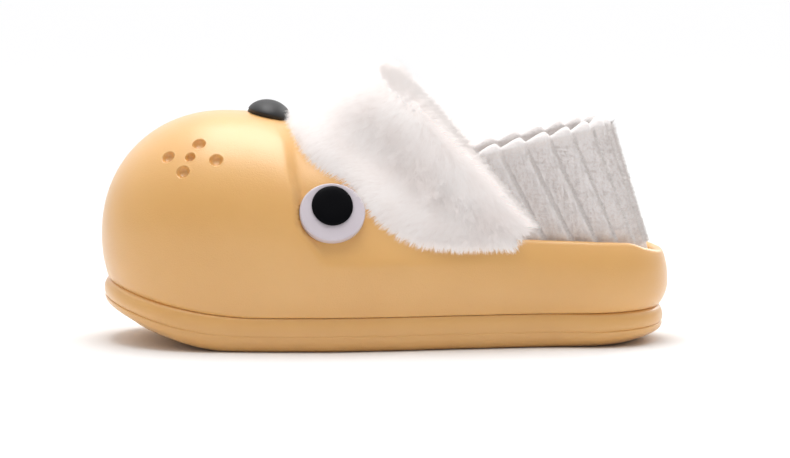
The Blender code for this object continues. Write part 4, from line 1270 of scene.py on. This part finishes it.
def make_pile(look):
    """Short dense pile on the ribs, longer along each rib's rear edge and along the top hem, with painted
    light there and painted shade on the pile between.
    """
    outer, inner, _ = collar_faces(12, np.linspace(0.28, COLLAR_TOP_LEVEL, 40))
    ribs = collar_ribs()
    parts = []
    for face, count, towards in ((outer, OUTER_PILE_COUNT, 1), (inner, INNER_PILE_COUNT, -1)):
        grid = face.transpose(1, 0, 2)
        place, normal, up, s, k = grid_samples(grid, (0, face.shape[0] - 1), count)
        flat = (place - COLLAR_MIDDLE) * np.array([1, 1, 0])
        normal = normal * np.sign((normal * flat).sum()) * towards
        along_rib = (s * ribs) % 1
        back = np.where(s < 0.5, along_rib, 1 - along_rib)
        edge = np.exp(-(((back - RIB_CREST) / 0.10) ** 2))
        hem = ease((k - 0.90) / 0.10)
        swirl = flow_noise(place, 2500.0, 21)
        length = (PILE_LENGTH + 0.0012 * (edge + hem)) * (0.7 + 0.6 * DICE.random(len(place)))
        way = unit(normal + 0.20 * swirl + up * 0.5 * hem[:, None])
        tip_way = unit(normal * 0.9 + 0.25 * swirl + up * 0.6 * hem[:, None])
        shade = unit(normal + 0.04 * swirl)
        # Painted light and shade: blades along each rib's rear edge and the top hem are made pale, the others
        # dark, with a little random tone.
        light = 0.45 + 0.15 * DICE.random(len(place)) + 0.55 * np.maximum(edge, hem)
        parts.append(strands(place, way, tip_way, length, PILE_WIDTH, shade, normal, light, False))
    add_strands("collar_pile", parts, look, "plush")


def make_lining(look):
    """Fleece on the inside of the toe and sides, from the footbed up to the cuff's tucked edge."""
    q, hem, _ = cuff_lines(LINING_STATIONS)
    edge = edge_under(q)
    under = on_last(between(hem - FIRST_AXIS, edge - FIRST_AXIS, 0.33))
    upper = on_last(edge + unit(under - edge) * (tuck_depth(q) + 0.0012) - FIRST_AXIS)
    foot = stations_of(q, end_of(feather_height, -1), end_of(feather_height, 1), feather_height)
    foot[:, 2] += 0.0045
    rows = [on_last(between(foot - FIRST_AXIS, upper - FIRST_AXIS, t)) for t in np.linspace(0, 1, 46)]
    rows = np.array(rows)
    outer = inside_of(rows, WALL + 0.0004)
    inner = inside_of(rows, WALL + 0.0024)
    curls = flow_noise(inner.reshape(-1, 3), 900.0, 31)[:, 0].reshape(inner.shape[:2])
    inner = inner - outward(rows) * (0.00035 * curls)[..., None]
    dress(swept("toe_lining", np.array([*outer, *inner[::-1]]), look), "plush")


# Face

TURN = np.linspace(0, 2 * np.pi, DISC_SIDES, endpoint=False)[:, None]
CIRCLE = (np.cos(TURN), np.sin(TURN))


def conforming_disc(name, look, centre, normal, up, half_long, half_wide, rings, sunk):
    """A round piece whose back follows the last and whose front rings stand at heights over a flat plane."""
    normal = unit(normal)
    up = unit(up - normal * (up * normal).sum())
    across = np.cross(normal, up)
    flat = across * CIRCLE[0] * half_wide + up * CIRCLE[1] * half_long
    front = [centre + flat * share + normal * rise for share, rise in rings]
    backs = []
    for share in (1.0, 0.88, 0.7, 0.5, 0.3, 0.1):
        ray = centre + flat * share + normal * 0.03
        far = crossing(ray, np.broadcast_to(-normal, ray.shape), 0.06, lambda p: 2 - last_value(p))
        backs.append(ray - normal * (far + sunk)[:, None])
    return capped(name, np.array([*front[::-1], *backs]), look)


def eye_place(sign):
    x = np.array([-EYE_FORWARD])
    z = np.array([EYE_HEIGHT])
    seat = np.stack([x, side_at(x, z, sign), z], axis=-1)
    up = np.array([0.0, 0.0, 1.0])
    return seat[0], unit(outward(seat, 8 * STEP_WIDTH)[0] + EYE_TILT * up), up


def make_eye(side, sign, white, black):
    seat, normal, up = eye_place(sign)
    half = EYE_WIDTH / 2
    rings = [(1.0, 0.0014)]
    for a in np.linspace(0, np.pi / 2, 7):
        rings.append((1 - EYE_BEVEL / half * (1 - np.cos(a)), EYE_THICKNESS - EYE_BEVEL * (1 - np.sin(a))))
    rings += [(0.9, EYE_THICKNESS), (0.6, EYE_THICKNESS), (0.2, EYE_THICKNESS)]
    made = conforming_disc("eye_disc_" + side, white, seat, normal, up,
                           half * EYE_SQUASH, half, rings, EYE_SEAT - GAP)
    made.data.set_sharp_from_angle(angle=0.9)
    dress(made, "eye_white", "eye_white_" + side)
    up = unit(up - normal * (up * normal).sum())
    across = np.cross(normal, up)
    centre = seat + normal * (EYE_THICKNESS + GAP) + up * PUPIL_RAISE
    flat = (across * CIRCLE[0] + up * CIRCLE[1]) * PUPIL_WIDTH / 2
    rings = [(0.05, 0.0), (0.97, 0.0), (1.0, 0.12), (1.0, 0.25)]
    for a in np.linspace(0.25, np.pi / 2, 12)[:-1]:
        rings.append((np.cos(a) ** 0.55, 0.25 + 0.75 * np.sin(a)))
    rings.append((0.05, 1.0))
    loops = np.array([centre + flat * share + normal * PUPIL_THICKNESS * rise for share, rise in rings])
    dress(capped("pupil_dome_" + side, loops, black), "black", "pupil_" + side)


def make_nose(look):
    x = np.array([-NOSE_FORWARD])
    row = last_rows(x)
    seat = np.stack([x, row["middle"], row["ridge"]], axis=-1)
    normal = outward(seat, 8 * STEP_WIDTH)[0]
    rings = [(0.97, 0.0), (0.99, 0.0003)]
    for a in np.linspace(0.12, np.pi / 2, 22)[:-1]:
        rings.append((np.cos(a), NOSE_RISE * np.sin(a) ** 1.25))
    rings.append((0.04, NOSE_RISE))
    made = conforming_disc("nose_cap", look, seat[0], normal, np.array([-1.0, 0.0, 0.2]),
                           NOSE_LENGTH / 2, NOSE_WIDTH / 2, rings, -GAP)
    dress(made, "black", "nose")


# Stage, light and camera

FLOOR_COLOUR = (0.83, 0.83, 0.835)
FLOOR_SIZE = 40.0
FLOOR_DROP = 0.0002
FLOOR_NEAR = 0.25
FLOOR_FAR = 1.6
FLOOR_GLOW = 0.22
WORLD_LIGHT = 1.2
SKY_WAY = (0.0, 0.45, 0.893)
SKY = ((0.10, (0.25, 0.25, 0.255, 1)), (0.75, (1.0, 1.0, 1.0, 1)))
LIGHTS = (
    # name, place, target, size, watts
    ("key", (-0.05, 0.05, 0.90), (-0.05, 0.0, 0.06), (0.55, 0.75), 5.6),
    ("rear", (0.75, 0.90, 0.60), (0.0, 0.0, 0.04), (0.4, 0.4), 3.0),
)
CAMERA_RISE = math.radians(6.0)
CAMERA_FAR = 1.5
CAMERA_TARGET = Vector((0.0051, 0.0, 0.0535))
CAMERA_ANGLE = 2 * math.atan(0.19158 / CAMERA_FAR)


def make_stage():
    """A wide floor that brightens with distance, so that it ends in the white of the background."""
    look, tree, shader = new_look("floor", FLOOR_COLOUR, 0.9, NO_SHINE)
    place = add_node(tree, "ShaderNodeTexCoord")
    far = add_node(tree, "ShaderNodeVectorMath", operation="LENGTH")
    glow = add_node(tree, "ShaderNodeMapRange")
    glow.inputs["From Min"].default_value, glow.inputs["From Max"].default_value = FLOOR_NEAR, FLOOR_FAR
    glow.inputs["To Min"].default_value, glow.inputs["To Max"].default_value = 0.0, FLOOR_GLOW
    tree.links.new(place.outputs["Object"], far.inputs[0])
    tree.links.new(far.outputs["Value"], glow.inputs["Value"])
    tree.links.new(glow.outputs["Result"], shader.inputs["Emission Strength"])
    shader.inputs["Emission Color"].default_value = (1.0, 0.995, 0.99, 1)
    corners = np.array([[-1, -1, 0], [1, -1, 0], [1, 1, 0], [-1, 1, 0]])
    floor = build("floor", corners * FLOOR_SIZE - [0, 0, FLOOR_DROP], np.array([[0, 1, 2, 3]]), look=look)


def area_light(name, place, target, size, watts):
    light = bpy.data.lights.new(name, "AREA")
    light.shape = "RECTANGLE"
    light.size, light.size_y = size
    light.energy = watts
    made = bpy.data.objects.new(name, light)
    made.location = place
    made.rotation_euler = (Vector(target) - Vector(place)).to_track_quat("-Z", "Y").to_euler()
    bpy.context.scene.collection.objects.link(made)


def make_light():
    world = bpy.data.worlds.new("studio")
    bpy.context.scene.world = world
    world.use_nodes = True
    tree = world.node_tree
    back = tree.nodes["Background"]
    place = add_node(tree, "ShaderNodeTexCoord")
    ramp = add_node(tree, "ShaderNodeValToRGB")
    for stop, (position, colour) in zip(ramp.color_ramp.elements, SKY):
        stop.position, stop.color = position, colour
    tilt = add_node(tree, "ShaderNodeVectorMath", operation="DOT_PRODUCT")
    tilt.inputs[1].default_value = SKY_WAY
    tree.links.new(place.outputs["Generated"], tilt.inputs[0])
    tree.links.new(tilt.outputs["Value"], ramp.inputs["Fac"])
    tree.links.new(ramp.outputs["Color"], back.inputs["Color"])
    back.inputs["Strength"].default_value = WORLD_LIGHT
    for row in LIGHTS:
        area_light(*row)


def make_camera():
    lens = bpy.data.cameras.new("camera")
    lens.sensor_fit = "HORIZONTAL"
    lens.angle = CAMERA_ANGLE
    made = bpy.data.objects.new("camera", lens)
    away = Vector((0, -math.cos(CAMERA_RISE), math.sin(CAMERA_RISE)))
    made.location = CAMERA_TARGET + away * CAMERA_FAR
    made.rotation_euler = (-away).to_track_quat("-Z", "Y").to_euler()
    bpy.context.scene.collection.objects.link(made)
    bpy.context.scene.camera = made


def main():
    bpy.context.scene.view_settings.view_transform = "Standard"
    make_camera()
    make_light()
    make_stage()
    foam = foam_look()
    make_shell(foam)
    make_sole(foam)
    make_footbed(fleece_look("plush", *FOOTBED_COLOURS))
    make_lining(fleece_look("lining", *LINING_COLOURS))
    make_collar(nap_look("ribs", *RIB_COLOURS))
    # Painted light: the last two numbers of each pile look are its glow everywhere and its extra glow on the
    # backs of blades.
    make_pile(fur_look("pile", *PILE_COLOURS, 120, 0.10, 0.10))
    grid, lean = cuff_surface()
    make_cuff_body(fleece_look("fur_ground", *CUFF_COLOURS), grid)
    fur = fur_look("fur", *FUR_COLOURS, 60, 0.10, 0.62)
    make_fur(grid, lean, fur, fur_look("lined", *TURNED_IN_COLOURS, 60, 0.12, 0.55))
    make_nose(hard_look("satin_black", NOSE_BLACK, 0.5, 0.55))
    white = hard_look("eye_white", EYE_WHITE, 0.3, 0.4)
    black = hard_look("black", PUPIL_BLACK, 0.35, 0.06)
    for side, sign in (("outer", -1), ("inner", 1)):
        make_eye(side, sign, white, black)


main()
